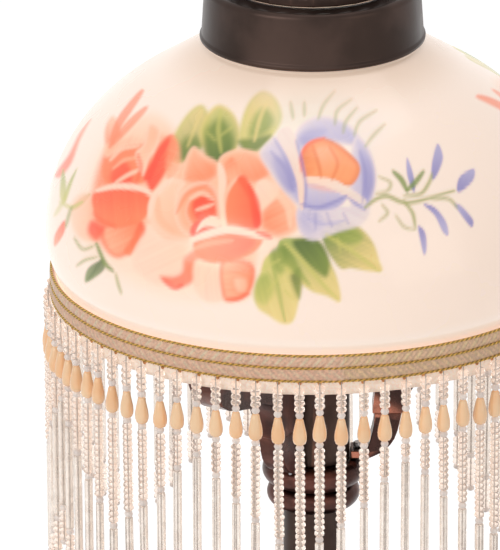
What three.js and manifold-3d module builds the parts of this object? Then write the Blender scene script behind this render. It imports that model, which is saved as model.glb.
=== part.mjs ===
// A table oil lamp with a painted opal-glass dome shade, a beaded fringe and a pierced crown.
// Millimetres, +Z up. The origin is the centre of the felt pad's underside.
// The stack, from the table up: weighted foot, stem, oil font, neck and hub, three bracket
// arms that carry the shade ring, riser tube, flat-wick burner, glass chimney.
import * as THREE from "three";
import { mergeVertices } from "three/addons/utils/BufferGeometryUtils.js";
import Module from "manifold-3d";

const wasm = await Module();
wasm.setup();

// ---------------------------------------------------------------- driving dimensions
const SEAT_GAP = 0.3; // between faces that touch on the real lamp
const RIM_HEIGHT = 255; // top edge of the braid above the table

// Foot and stem
const FELT_THICKNESS = 1.5;
const FOOT_RADIUS = 64;
const FOOT_HEIGHT = 34;
const FOOT_WALL = 1.4;
const WEIGHT_RADIUS = 46;
const WEIGHT_THICKNESS = 8;
const ROD_RADIUS = 3;
const NUT_RADIUS = 5.8;
const NUT_THICKNESS = 3.4;
const WASHER_THICKNESS = 1.2;
const STEM_LENGTH = 14;
const STEM_RADIUS = 13;
const KNOP_RADIUS = 15.5;
const STEM_RING_THICKNESS = 3;
const SEAT_RADIUS = 24;
const SEAT_THICKNESS = 3;
const SEAT_LIP = 2;

// Oil font
const FONT_RADIUS = 53;
const FONT_FLOOR_RADIUS = 21.5;
const FONT_LOWER_HEIGHT = 37;
const FONT_WALL = 1.6;
const FONT_BOSS_RADIUS = 7;
const FONT_BOSS_HEIGHT = 9;
const BELT_HEIGHT = 6;
const BELT_THICKNESS = 1.6;
const FILLER_AZIMUTH = 300; // degrees round the font, between two arms
const FILLER_REACH = 31; // from the axis
const FILLER_BORE = 4;
const FILLER_WALL = 1.4;
const FILLER_CAP_RADIUS = 8;
const FILLER_CAP_HEIGHT = 6;
const FILLER_PLUG_LENGTH = 6;

// Neck, hub and riser
const NECK_RADIUS = 11.7;
const NECK_BORE = 9.7;
const NECK_LENGTH = 31.5;
const COLLAR_FLANGE = 14.5;
const HUB_LOWER_RADIUS = 18;
const HUB_UPPER_RADIUS = 19.8;
const HUB_BEAD_LOWER = 4.7; // half height of the lower bead
const HUB_BEAD_UPPER = 4.9; // half height of the upper bead
const HUB_TOP_DROP = 79.5; // hub ledge below the rim plane
const SPIGOT_RADIUS = 12.2;
const SPIGOT_HEIGHT = 5.5;
const RISER_RADIUS = 14;
const RISER_WALL = 1.5;
const RISER_TOP_DROP = 48; // riser mouth below the rim plane

// Bracket arms and shade ring
const ARM_COUNT = 3;
const ARM_FIRST_AZIMUTH = 0;
const ARM_WIDTH = 12;
const ARM_SPLIT_DROP = 60; // joint between the lower and upper casting, below the rim plane
const ARM_FOOT_THICKNESS = 3.2;
const ARM_SPLIT_INNER = 23.5;
const ARM_SPLIT_OUTER = 34;
const ARM_LIP = 2.7; // how far the upper casting stands proud of the lower one
const ARM_TIP_THICKNESS = 6;
const SCREW_RADIUS = 1.2;
const SCREW_HEAD_RADIUS = 2.1;
const SCREW_HEAD_HEIGHT = 1.8;
const SCREW_LENGTH = 8;
const PIN_RADIUS = 1.6;
const PIN_LENGTH = 14;
const RING_THICKNESS = 2.5;
const RING_INNER = 87;
const RING_LIP_THICKNESS = 1.2;
const RING_LIP_HEIGHT = 5;

// Shade, braid and fringe
const SHADE_RADIUS = 102;
const SHADE_WIDEST_HEIGHT = 15.5; // above the rim plane
const SHADE_DOME_RISE = 77;
const SHADE_WALL = 2.6;
const SHADE_RIM_RADIUS = 98.3;
const SHADE_NECK_RADIUS = 38.6;
const SHADE_NECK_HEIGHT = 8;
const SHADE_SHOULDER_RADIUS = 60; // where the dome turns into the cone below the crown
const SHADE_SHOULDER_TOP = 90; // height of the cone's top above the rim plane
const BRAID_HEIGHT = 10.5;
const BRAID_THICKNESS = 1.6;
const TAPE_THICKNESS = 0.5;
const TAPE_BELOW_BRAID = 5.5;
const FRINGE_THICKNESS = 4;
const FRINGE_PANELS = 8;
const FRINGE_FIRST_AZIMUTH = 19; // a strand of the shortest run hangs here
const FRINGE_SHORT = 91;
const FRINGE_LONG = 128;
const FRINGE_START_DROP = 12;

// Crown
const CROWN_RADIUS = 40.9;
const CROWN_WALL = 1.2;
const CROWN_HEIGHT = 21.8;
const CROWN_ROLL = 1.4;
const CROWN_SHOULDER = 2.4;
const GALLERY_RADIUS = 32.6;
const GALLERY_HEIGHT = 18;
const GALLERY_WALL = 1.2;
const GALLERY_WINDOWS = 24;
const WINDOW_WIDTH = 5.6;
const WINDOW_MARGIN = 3;
const CROWN_BEAD = 1.6;

// Burner, wick and chimney
const BURNER_FLANGE = 16;
const BURNER_FLANGE_THICKNESS = 2;
const BURNER_SPIGOT = 7;
const BURNER_BORE_CLEARANCE = 1; // round the wick tube's corners
const BASKET_RADIUS = 22;
const BASKET_HEIGHT = 19;
const BASKET_WALL = 1.1;
const BASKET_HOLES = 12;
const BASKET_HOLE_RADIUS = 1.7;
const WICK_WIDTH = 14;
const WICK_THICKNESS = 3;
const WICK_LENGTH = 172;
const WICK_ABOVE_CONE = 3;
const WICK_CLEARANCE = 0.4;
const TUBE_WALL = 0.7;
const SHAFT_RADIUS = 1.2;
const SHAFT_HEIGHT = 9; // above the basket's floor
const SHAFT_REACH = 40;
const WHEEL_RADIUS = 4.2;
const WHEEL_THICKNESS = 2;
const WHEEL_SPACING = 9;
const KNOB_RADIUS = 6;
const KNOB_THICKNESS = 2.6;
const KNOB_LOBES = 12;
const DECK_RADIUS = 24.4;
const DECK_THICKNESS = 1.3;
const PRONG_COUNT = 4;
const PRONG_WIDTH = 7;
const CONE_HEIGHT = 18;
const CHIMNEY_BASE_RADIUS = 21;
const CHIMNEY_BULGE_RADIUS = 25;
const CHIMNEY_TOP_RADIUS = 17;
const CHIMNEY_WALL = 1.6;
const CHIMNEY_FITTER = 11; // straight foot that the prongs grip
const CHIMNEY_HEIGHT = 190;

// Facets round a turned piece
const LARGE_TURN = 24;
const MIDDLE_TURN = 18;
const SMALL_TURN = 12;

// ---------------------------------------------------------------- derived levels
const WEIGHT_BOTTOM = FELT_THICKNESS + SEAT_GAP;
const FOOT_TOP = WEIGHT_BOTTOM + FOOT_HEIGHT;
const STEM_BOTTOM = FOOT_TOP + SEAT_GAP;
const STEM_RING_BOTTOM = STEM_BOTTOM + STEM_LENGTH + SEAT_GAP;
const SEAT_BOTTOM = STEM_RING_BOTTOM + STEM_RING_THICKNESS + SEAT_GAP;
const FONT_BOTTOM = SEAT_BOTTOM + SEAT_THICKNESS + SEAT_GAP;
const FONT_SEAM = FONT_BOTTOM + FONT_LOWER_HEIGHT;
const HUB_TOP = RIM_HEIGHT - HUB_TOP_DROP;
const HUB_BOTTOM = HUB_TOP - 2 * (HUB_BEAD_LOWER + HUB_BEAD_UPPER);
const NECK_BOTTOM = HUB_BOTTOM - SEAT_GAP - NECK_LENGTH;
const FONT_TOP = NECK_BOTTOM - SEAT_GAP;
const ROD_HOLE = ROD_RADIUS + SEAT_GAP;
const ARM_SPLIT = RIM_HEIGHT - ARM_SPLIT_DROP;
const RISER_TOP = RIM_HEIGHT - RISER_TOP_DROP;
const SHADE_RIM_BOTTOM = RIM_HEIGHT - BRAID_HEIGHT;
const RING_TOP = SHADE_RIM_BOTTOM - SEAT_GAP;
const RING_BOTTOM = RING_TOP - RING_THICKNESS;
const ARM_TIP_TOP = RING_BOTTOM - SEAT_GAP;
const TAPE_INNER = SHADE_RIM_RADIUS + SEAT_GAP;
const BRAID_INNER = TAPE_INNER + TAPE_THICKNESS + SEAT_GAP;
const FRINGE_INNER = TAPE_INNER + TAPE_THICKNESS + SEAT_GAP;
const SHADE_CONE_TOP = RIM_HEIGHT + SHADE_SHOULDER_TOP;
const CROWN_BOTTOM = SHADE_CONE_TOP + SEAT_GAP;
const CROWN_TOP = CROWN_BOTTOM + CROWN_HEIGHT;
const GALLERY_BOTTOM = CROWN_TOP + SEAT_GAP;
const GALLERY_TOP = GALLERY_BOTTOM + GALLERY_HEIGHT;
const FLANGE_BOTTOM = RISER_TOP + SEAT_GAP;
const BASKET_BOTTOM = FLANGE_BOTTOM + BURNER_FLANGE_THICKNESS + SEAT_GAP;
const BASKET_TOP = BASKET_BOTTOM + BASKET_HEIGHT;
const SHAFT_LEVEL = BASKET_BOTTOM + SHAFT_HEIGHT;
const SHAFT_OFFSET = WICK_THICKNESS / 2 + SEAT_GAP + WHEEL_RADIUS;
const DECK_BOTTOM = BASKET_TOP + SEAT_GAP;
const DECK_TOP = DECK_BOTTOM + DECK_THICKNESS;
const CHIMNEY_BOTTOM = DECK_TOP + SEAT_GAP;
const CONE_RADIUS = CHIMNEY_BASE_RADIUS - CHIMNEY_WALL - 1;
const CONE_TOP = CHIMNEY_BOTTOM + CONE_HEIGHT;
const TUBE_HALF_X = WICK_WIDTH / 2 + WICK_CLEARANCE + TUBE_WALL;
const TUBE_HALF_Y = WICK_THICKNESS / 2 + WICK_CLEARANCE + TUBE_WALL;
const TUBE_TOP = CONE_TOP - 4;
const BURNER_BORE = Math.hypot(TUBE_HALF_X, TUBE_HALF_Y) + BURNER_BORE_CLEARANCE;
const PRONG_INNER = CHIMNEY_BASE_RADIUS + SEAT_GAP;
const PRONG_TOP = CHIMNEY_BOTTOM + CHIMNEY_FITTER - 1;

// ---------------------------------------------------------------- finishes
const finish = (color, roughness, metalness) =>
  new THREE.MeshStandardMaterial({ color, roughness, metalness });
const BRONZE = finish(0x3a2926, 0.42, 0.85);
const BRASS = finish(0xa9854a, 0.4, 0.9);
const STEEL = finish(0x8c8c8c, 0.45, 0.9);
const IRON = finish(0x3c3c3e, 0.7, 0.6);
const FELT = finish(0x2f3a30, 0.95, 0);
const OPAL = finish(0xfbe9d8, 0.25, 0);
const CLEAR_GLASS = finish(0xe6eef0, 0.08, 0);
const BRAID = finish(0xc9a58b, 0.8, 0);
const TAPE = finish(0xfbdcc4, 0.85, 0);
const BEADS = finish(0xe8dcd4, 0.2, 0);
const WICK = finish(0xe9e2d0, 0.95, 0);
const CORK = finish(0x9c6b45, 0.9, 0);

// ---------------------------------------------------------------- geometry helpers
const radians = THREE.MathUtils.degToRad;
const point = (radius, height) => new THREE.Vector2(radius, height);

// Twice the signed area that a profile encloses, closing it along a straight line.
function turning(profile) {
  return profile.reduce((sum, a, i) => {
    const b = profile[(i + 1) % profile.length];
    return sum + a.x * b.y - b.x * a.y;
  }, 0);
}

// Turns a profile of (radius, height) about Z. An open profile starts and ends on the axis.
function turned(profile, segments = MIDDLE_TURN) {
  const ordered = turning(profile) > 0 ? [...profile] : [...profile].reverse();
  if (ordered[0].x > 0 || ordered[ordered.length - 1].x > 0) ordered.push(ordered[0].clone());
  return new THREE.LatheGeometry(ordered, segments).rotateX(Math.PI / 2);
}

// A ring of rectangular section.
function ring(inner, outer, bottom, top, segments = MIDDLE_TURN) {
  return turned(
    [point(inner, bottom), point(outer, bottom), point(outer, top), point(inner, top)],
    segments,
  );
}

// A solid disc or rod on the axis.
function disc(radius, bottom, top, segments = SMALL_TURN) {
  return turned([point(0, bottom), point(radius, bottom), point(radius, top), point(0, top)], segments);
}

// Points of an arc about (radius, height), from one angle to another in degrees.
function arc(radius, height, size, from, to, steps = 8) {
  return Array.from({ length: steps + 1 }, (_, i) => {
    const angle = radians(from + ((to - from) * i) / steps);
    return point(radius + size * Math.cos(angle), height + size * Math.sin(angle));
  });
}

// A smooth line through a few points.
const smooth = (points, steps) => new THREE.SplineCurve(points).getPoints(steps);

// The line moved sideways by a distance, to the left of the way it runs.
function beside(line, distance) {
  return line.map((p, i) => {
    const before = line[Math.max(i - 1, 0)];
    const after = line[Math.min(i + 1, line.length - 1)];
    const along = after.clone().sub(before).normalize();
    return point(p.x - along.y * distance, p.y + along.x * distance);
  });
}

// A turned wall: the outer line, and the same line moved inwards. The outer line runs upwards.
function shell(outer, wall, segments = LARGE_TURN) {
  return turned([...outer, ...beside(outer, wall).reverse()], segments);
}

// A three.js geometry as a manifold-3d solid.
function solid(geometry) {
  const bare = geometry.index ? geometry.toNonIndexed() : geometry.clone();
  const positions = new THREE.BufferGeometry().setAttribute("position", bare.getAttribute("position"));
  const merged = mergeVertices(positions, 1e-4);
  return new wasm.Manifold(
    new wasm.Mesh({
      numProp: 3,
      vertProperties: merged.attributes.position.array,
      triVerts: new Uint32Array(merged.index.array),
    }),
  );
}

// A manifold-3d solid as a three.js geometry.
function geometryOf(made) {
  const mesh = made.getMesh();
  return new THREE.BufferGeometry()
    .setAttribute("position", new THREE.BufferAttribute(mesh.vertProperties, 3))
    .setIndex(new THREE.BufferAttribute(mesh.triVerts, 1));
}

const cut = (body, ...tools) =>
  geometryOf(tools.reduce((left, tool) => left.subtract(solid(tool)), solid(body)));
const join = (...bodies) => geometryOf(bodies.map(solid).reduce((sum, next) => sum.add(next)));

// A box between two corners.
function box(low, high) {
  const size = high.map((v, i) => v - low[i]);
  const centre = high.map((v, i) => (v + low[i]) / 2);
  return new THREE.BoxGeometry(...size).translate(...centre);
}

// A rod between two heights, its axis parallel to Z at a reach and azimuth.
function upright(radius, bottom, top, reach = 0, azimuth = 0, segments = SMALL_TURN) {
  const angle = radians(azimuth);
  return new THREE.CylinderGeometry(radius, radius, top - bottom, segments)
    .rotateX(Math.PI / 2)
    .translate(reach * Math.cos(angle), reach * Math.sin(angle), (top + bottom) / 2);
}

// A rod parallel to X.
function crosswise(radius, from, to, y, z, segments = SMALL_TURN) {
  return new THREE.CylinderGeometry(radius, radius, to - from, segments)
    .rotateZ(Math.PI / 2)
    .translate((from + to) / 2, y, z);
}

// A plate whose outline is drawn in (radius, height), of a width across, turned to an azimuth.
function bracket(outline, width, azimuth) {
  return new THREE.ExtrudeGeometry(new THREE.Shape(outline), { depth: width, bevelEnabled: false })
    .translate(0, 0, -width / 2)
    .rotateX(Math.PI / 2)
    .rotateZ(radians(azimuth));
}

const root = new THREE.Group();
function add(name, geometry, material) {
  const mesh = new THREE.Mesh(geometry, material);
  mesh.name = name;
  root.add(mesh);
}

// ---------------------------------------------------------------- foot and stem
const WEIGHT_TOP = WEIGHT_BOTTOM + WEIGHT_THICKNESS;
const RECESS_RADIUS = NUT_RADIUS + 2.5;
const RECESS_TOP = WEIGHT_BOTTOM + NUT_THICKNESS + WASHER_THICKNESS + 2 * SEAT_GAP;
const FOOT_EDGE = 3.5; // height of the foot's upright edge

add("felt_pad", ring(RECESS_RADIUS, FOOT_RADIUS - 4, 0, FELT_THICKNESS, LARGE_TURN), FELT);
add(
  "base_weight",
  turned(
    [
      point(ROD_HOLE, RECESS_TOP),
      point(RECESS_RADIUS, RECESS_TOP),
      point(RECESS_RADIUS, WEIGHT_BOTTOM),
      point(WEIGHT_RADIUS, WEIGHT_BOTTOM),
      point(WEIGHT_RADIUS, WEIGHT_TOP - 1),
      point(WEIGHT_RADIUS - 1, WEIGHT_TOP),
      point(ROD_HOLE, WEIGHT_TOP),
    ],
    MIDDLE_TURN,
  ),
  IRON,
);
function footShell() {
  const stepRadius = FOOT_RADIUS - 6;
  const stepTop = WEIGHT_BOTTOM + FOOT_EDGE + 5;
  const sweep = smooth(
    [
      point(WEIGHT_RADIUS + 4.5, stepTop + 2),
      point(FOOT_RADIUS * 0.5, FOOT_TOP * 0.47),
      point(STEM_RADIUS + 6, FOOT_TOP * 0.72),
      point(STEM_RADIUS + 1, FOOT_TOP - 1),
    ],
    7,
  );
  const outer = [
    point(FOOT_RADIUS, WEIGHT_BOTTOM),
    point(FOOT_RADIUS, WEIGHT_BOTTOM + FOOT_EDGE),
    ...arc(stepRadius, WEIGHT_BOTTOM + FOOT_EDGE, 5, 20, 80, 2),
    ...sweep,
    point(STEM_RADIUS, FOOT_TOP),
    point(ROD_HOLE, FOOT_TOP),
  ];
  const inner = beside(outer, FOOT_WALL);
  inner[inner.length - 1] = point(ROD_HOLE, FOOT_TOP - FOOT_WALL);
  inner[inner.length - 2] = point(STEM_RADIUS - FOOT_WALL, FOOT_TOP - FOOT_WALL);
  inner[0] = point(FOOT_RADIUS - FOOT_WALL, WEIGHT_BOTTOM);
  return turned([...outer, ...inner.reverse()], LARGE_TURN);
}
add("foot_shell", footShell(), BRONZE);
add(
  "base_nut",
  cut(
    disc(NUT_RADIUS, WEIGHT_BOTTOM, WEIGHT_BOTTOM + NUT_THICKNESS, 6),
    disc(ROD_HOLE, WEIGHT_BOTTOM - 1, WEIGHT_BOTTOM + NUT_THICKNESS + 1),
  ),
  STEEL,
);
add(
  "base_washer",
  ring(
    ROD_HOLE,
    NUT_RADIUS + 1.5,
    WEIGHT_BOTTOM + NUT_THICKNESS + SEAT_GAP,
    WEIGHT_BOTTOM + NUT_THICKNESS + SEAT_GAP + WASHER_THICKNESS,
    SMALL_TURN,
  ),
  STEEL,
);
const ROD_TOP = FONT_BOTTOM + FONT_BOSS_HEIGHT - 3;
add("tie_rod", disc(ROD_RADIUS, WEIGHT_BOTTOM, ROD_TOP), STEEL);
function stem() {
  const line = smooth(
    [
      point(STEM_RADIUS, STEM_BOTTOM),
      point(STEM_RADIUS * 0.72, STEM_BOTTOM + STEM_LENGTH * 0.22),
      point(STEM_RADIUS * 0.66, STEM_BOTTOM + STEM_LENGTH * 0.42),
      point(KNOP_RADIUS, STEM_BOTTOM + STEM_LENGTH * 0.7),
      point(KNOP_RADIUS * 0.7, STEM_BOTTOM + STEM_LENGTH * 0.9),
      point(KNOP_RADIUS * 0.76, STEM_BOTTOM + STEM_LENGTH),
    ],
    13,
  );
  return turned([point(ROD_HOLE, STEM_BOTTOM), ...line, point(ROD_HOLE, STEM_BOTTOM + STEM_LENGTH)]);
}
add("stem", stem(), BRONZE);
add(
  "stem_ring",
  turned([
    point(ROD_HOLE, STEM_RING_BOTTOM),
    ...arc(
      STEM_RADIUS,
      STEM_RING_BOTTOM + STEM_RING_THICKNESS / 2,
      STEM_RING_THICKNESS / 2,
      -90,
      90,
      6,
    ),
    point(ROD_HOLE, STEM_RING_BOTTOM + STEM_RING_THICKNESS),
  ]),
  BRONZE,
);
const SEAT_LIP_INNER = FONT_FLOOR_RADIUS + SEAT_GAP;
add(
  "font_seat",
  turned(
    [
      point(ROD_HOLE, SEAT_BOTTOM),
      point(STEM_RADIUS, SEAT_BOTTOM),
      point(Math.max(SEAT_RADIUS, SEAT_LIP_INNER + 1.5), SEAT_BOTTOM + SEAT_THICKNESS * 0.8),
      point(Math.max(SEAT_RADIUS, SEAT_LIP_INNER + 1.5), SEAT_BOTTOM + SEAT_THICKNESS + SEAT_LIP),
      point(SEAT_LIP_INNER, SEAT_BOTTOM + SEAT_THICKNESS + SEAT_LIP),
      point(SEAT_LIP_INNER, SEAT_BOTTOM + SEAT_THICKNESS),
      point(ROD_HOLE, SEAT_BOTTOM + SEAT_THICKNESS),
    ],
    LARGE_TURN,
  ),
  BRONZE,
);

// ---------------------------------------------------------------- oil font
// Outer line of the lower bowl, from the floor's edge to the seam.
function bowlLine() {
  const rise = FONT_LOWER_HEIGHT - SEAT_LIP - 2;
  const spread = FONT_RADIUS - FONT_FLOOR_RADIUS;
  const curve = arc(0, 0, 1, -80, 0, 6).map((p) =>
    point(
      FONT_FLOOR_RADIUS + spread * ((p.x - Math.cos(radians(80))) / (1 - Math.cos(radians(80)))),
      FONT_SEAM + (rise * p.y) / Math.sin(radians(80)),
    ),
  );
  return [point(FONT_FLOOR_RADIUS, FONT_BOTTOM), ...curve];
}
function fontLower() {
  const outer = bowlLine();
  const inner = beside(outer, FONT_WALL).slice(1);
  inner[inner.length - 1] = point(FONT_RADIUS - FONT_WALL, FONT_SEAM);
  const floor = FONT_BOTTOM + FONT_WALL;
  return turned(
    [
      point(0, FONT_BOTTOM + FONT_BOSS_HEIGHT - 2),
      point(ROD_HOLE, FONT_BOTTOM + FONT_BOSS_HEIGHT - 2),
      point(ROD_HOLE, FONT_BOTTOM),
      ...outer,
      ...inner.reverse(),
      point(FONT_FLOOR_RADIUS - FONT_WALL, floor),
      point(FONT_BOSS_RADIUS, floor),
      point(FONT_BOSS_RADIUS, FONT_BOTTOM + FONT_BOSS_HEIGHT),
      point(0, FONT_BOTTOM + FONT_BOSS_HEIGHT),
    ],
    LARGE_TURN,
  );
}
add("font_lower", fontLower(), BRONZE);

const UPPER_BOTTOM = FONT_SEAM + SEAT_GAP;
// Outer line of the shoulder, from the seam up to the collar's seat.
function shoulderLine() {
  const rise = FONT_TOP - UPPER_BOTTOM;
  const spread = FONT_RADIUS - COLLAR_FLANGE;
  const steps = 7;
  return Array.from({ length: steps + 1 }, (_, i) => {
    const t = i / steps;
    const drop = 1 - Math.cos((t * Math.PI) / 2);
    const lift = Math.sin((t * Math.PI) / 2);
    return point(FONT_RADIUS - spread * drop, UPPER_BOTTOM + rise * lift);
  });
}
function shoulderHeight(reach) {
  const drop = (FONT_RADIUS - reach) / (FONT_RADIUS - COLLAR_FLANGE);
  return UPPER_BOTTOM + (FONT_TOP - UPPER_BOTTOM) * Math.sin(Math.acos(1 - drop));
}
const FILLER_TOP = shoulderHeight(FILLER_REACH - FILLER_BORE - FILLER_WALL) + 2;
const FILLER_BOTTOM = shoulderHeight(FILLER_REACH + FILLER_BORE + FILLER_WALL) - FONT_WALL - 2;
function fontUpper() {
  const outer = shoulderLine();
  const inner = beside(outer, FONT_WALL);
  inner[0] = point(FONT_RADIUS - FONT_WALL, UPPER_BOTTOM);
  const wall = turned(
    [
      ...outer,
      point(NECK_BORE, FONT_TOP),
      point(NECK_BORE, FONT_TOP - FONT_WALL),
      ...inner.reverse().slice(1),
    ],
    LARGE_TURN,
  );
  const hole = FILLER_BORE + FILLER_WALL + SEAT_GAP;
  return cut(wall, upright(hole, FILLER_BOTTOM - 5, FILLER_TOP + 5, FILLER_REACH, FILLER_AZIMUTH));
}
add("font_upper", fontUpper(), BRONZE);
const BELT_INNER = FONT_RADIUS + SEAT_GAP;
add(
  "font_belt",
  turned(
    [
      point(BELT_INNER, FONT_SEAM - BELT_HEIGHT / 2),
      ...arc(BELT_INNER + 0.4, FONT_SEAM, BELT_HEIGHT / 2, -75, 75, 6).map((p) =>
        point(BELT_INNER + ((p.x - BELT_INNER) * BELT_THICKNESS) / (BELT_HEIGHT / 2), p.y),
      ),
      point(BELT_INNER, FONT_SEAM + BELT_HEIGHT / 2),
    ],
    LARGE_TURN,
  ),
  BRONZE,
);
add(
  "font_collar",
  turned([
    point(NECK_BORE, NECK_BOTTOM),
    point(COLLAR_FLANGE, NECK_BOTTOM),
    point(COLLAR_FLANGE, NECK_BOTTOM + 1.6),
    point(NECK_RADIUS, NECK_BOTTOM + 2.6),
    point(NECK_RADIUS, NECK_BOTTOM + NECK_LENGTH),
    point(NECK_BORE, NECK_BOTTOM + NECK_LENGTH),
  ]),
  BRONZE,
);
add(
  "filler_neck",
  cut(
    upright(FILLER_BORE + FILLER_WALL, FILLER_BOTTOM, FILLER_TOP, FILLER_REACH, FILLER_AZIMUTH),
    upright(FILLER_BORE, FILLER_BOTTOM - 1, FILLER_TOP + 1, FILLER_REACH, FILLER_AZIMUTH),
  ),
  BRASS,
);
const GASKET_THICKNESS = 1;
const GASKET_BOTTOM = FILLER_TOP + SEAT_GAP;
const CAP_BOTTOM = GASKET_BOTTOM + GASKET_THICKNESS + SEAT_GAP;
add(
  "filler_gasket",
  cut(
    upright(FILLER_BORE + FILLER_WALL, GASKET_BOTTOM, CAP_BOTTOM - SEAT_GAP, FILLER_REACH, FILLER_AZIMUTH),
    upright(FILLER_BORE - 1, GASKET_BOTTOM - 1, CAP_BOTTOM + 1, FILLER_REACH, FILLER_AZIMUTH),
  ),
  CORK,
);
// The stopper: a plug, a round flange on the gasket and a finger button.
function fillerCap() {
  const rod = (radius, bottom, top) => upright(radius, bottom, top, FILLER_REACH, FILLER_AZIMUTH);
  const flangeTop = CAP_BOTTOM + FILLER_CAP_HEIGHT * 0.6;
  return join(
    rod(FILLER_CAP_RADIUS, CAP_BOTTOM, flangeTop),
    rod(FILLER_CAP_RADIUS * 0.55, CAP_BOTTOM, CAP_BOTTOM + FILLER_CAP_HEIGHT),
    rod(FILLER_BORE - 1 - SEAT_GAP, CAP_BOTTOM - FILLER_PLUG_LENGTH, CAP_BOTTOM + 1),
  );
}
add("filler_cap", fillerCap(), BRASS);

// ---------------------------------------------------------------- hub and riser
const armAzimuths = Array.from(
  { length: ARM_COUNT },
  (_, i) => ARM_FIRST_AZIMUTH + (i * 360) / ARM_COUNT,
);
const FOOT_SCREW_REACH = (RISER_RADIUS + HUB_UPPER_RADIUS) / 2 + 0.6;
const FOOT_BOTTOM = HUB_TOP + SEAT_GAP;
const FOOT_SCREW_TOP = FOOT_BOTTOM + ARM_FOOT_THICKNESS;
function hub() {
  const lowerCentre = HUB_BOTTOM + HUB_BEAD_LOWER;
  const upperCentre = HUB_TOP - HUB_BEAD_UPPER;
  const body = turned(
    [
      point(NECK_BORE, HUB_BOTTOM),
      ...arc(HUB_LOWER_RADIUS - HUB_BEAD_LOWER, lowerCentre, HUB_BEAD_LOWER, -90, 80, 5),
      ...arc(HUB_UPPER_RADIUS - HUB_BEAD_UPPER, upperCentre, HUB_BEAD_UPPER, -80, 90, 5),
      point(SPIGOT_RADIUS, HUB_TOP),
      point(SPIGOT_RADIUS, HUB_TOP + SPIGOT_HEIGHT),
      point(NECK_BORE, HUB_TOP + SPIGOT_HEIGHT),
    ],
    LARGE_TURN,
  );
  const holes = armAzimuths.map((azimuth) =>
    upright(
      SCREW_RADIUS + SEAT_GAP,
      FOOT_SCREW_TOP - SCREW_LENGTH - SEAT_GAP,
      HUB_TOP + 1,
      FOOT_SCREW_REACH,
      azimuth,
      8,
    ),
  );
  return cut(body, ...holes);
}
add("hub", hub(), BRONZE);
add(
  "riser_tube",
  turned([
    point(RISER_RADIUS - RISER_WALL, HUB_TOP + SEAT_GAP),
    point(RISER_RADIUS, HUB_TOP + SEAT_GAP),
    point(RISER_RADIUS, RISER_TOP),
    point(RISER_RADIUS - RISER_WALL, RISER_TOP),
  ]),
  BRONZE,
);

// ---------------------------------------------------------------- bracket arms
const PIN_REACH = (ARM_SPLIT_INNER + ARM_SPLIT_OUTER) / 2;
const LOWER_TOP = ARM_SPLIT - SEAT_GAP;
const RING_LIP_OUTER = SHADE_RIM_RADIUS - SHADE_WALL - 0.7;
const RING_LIP_INNER = RING_LIP_OUTER - RING_LIP_THICKNESS;
const RING_SCREW_REACH = (RING_INNER + RING_LIP_INNER) / 2;
const FOOT_INNER = RISER_RADIUS + SEAT_GAP;
const SCREW_CLEAR = FOOT_SCREW_REACH + SCREW_HEAD_RADIUS + 2 * SEAT_GAP;

// Lower casting: a tusk from the hub's ledge out to the joint with the upper casting.
function armLowerOutline() {
  const outer = smooth(
    [
      point(HUB_UPPER_RADIUS + 1.5, FOOT_BOTTOM),
      point(HUB_UPPER_RADIUS + 7.5, FOOT_BOTTOM + 3.2),
      point(ARM_SPLIT_OUTER - 2.3, FOOT_BOTTOM + 9),
      point(ARM_SPLIT_OUTER, LOWER_TOP),
    ],
    8,
  );
  const inner = smooth(
    [
      point(ARM_SPLIT_INNER, LOWER_TOP),
      point(ARM_SPLIT_INNER - 0.4, LOWER_TOP - 6),
      point(SCREW_CLEAR + 1, FOOT_SCREW_TOP + 2),
      point(SCREW_CLEAR, FOOT_SCREW_TOP),
    ],
    7,
  );
  return [
    point(FOOT_INNER, FOOT_BOTTOM),
    ...outer,
    ...inner,
    point(FOOT_INNER, FOOT_SCREW_TOP),
  ];
}

// Upper casting: rises from the joint, runs out under the shade and lifts to the ring.
function armUpperOutline() {
  const lipOuter = ARM_SPLIT_OUTER + ARM_LIP;
  const level = RIM_HEIGHT - 41;
  const under = smooth(
    [
      point(lipOuter, ARM_SPLIT),
      point(lipOuter + 0.4, ARM_SPLIT + 8),
      point(lipOuter + 8, level - 1),
      point(RING_INNER * 0.72, level + 2.5),
      point(RING_INNER - 8, level + 9),
      point(RING_INNER - 1, ARM_TIP_TOP - ARM_TIP_THICKNESS),
    ],
    11,
  );
  const over = smooth(
    [
      point(RING_INNER + 0.5, ARM_TIP_TOP),
      point(RING_INNER - 8, ARM_TIP_TOP - 4.5),
      point(RING_INNER * 0.72, level + 11),
      point(lipOuter + 4, level + 9.5),
      point(ARM_SPLIT_INNER + 3, level + 2),
      point(ARM_SPLIT_INNER - 0.8, ARM_SPLIT),
    ],
    11,
  );
  return [
    ...under,
    point(SHADE_RIM_RADIUS - SHADE_WALL - 1, ARM_TIP_TOP - ARM_TIP_THICKNESS + 2.5),
    point(SHADE_RIM_RADIUS - SHADE_WALL - 1, ARM_TIP_TOP),
    ...over,
  ];
}
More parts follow.
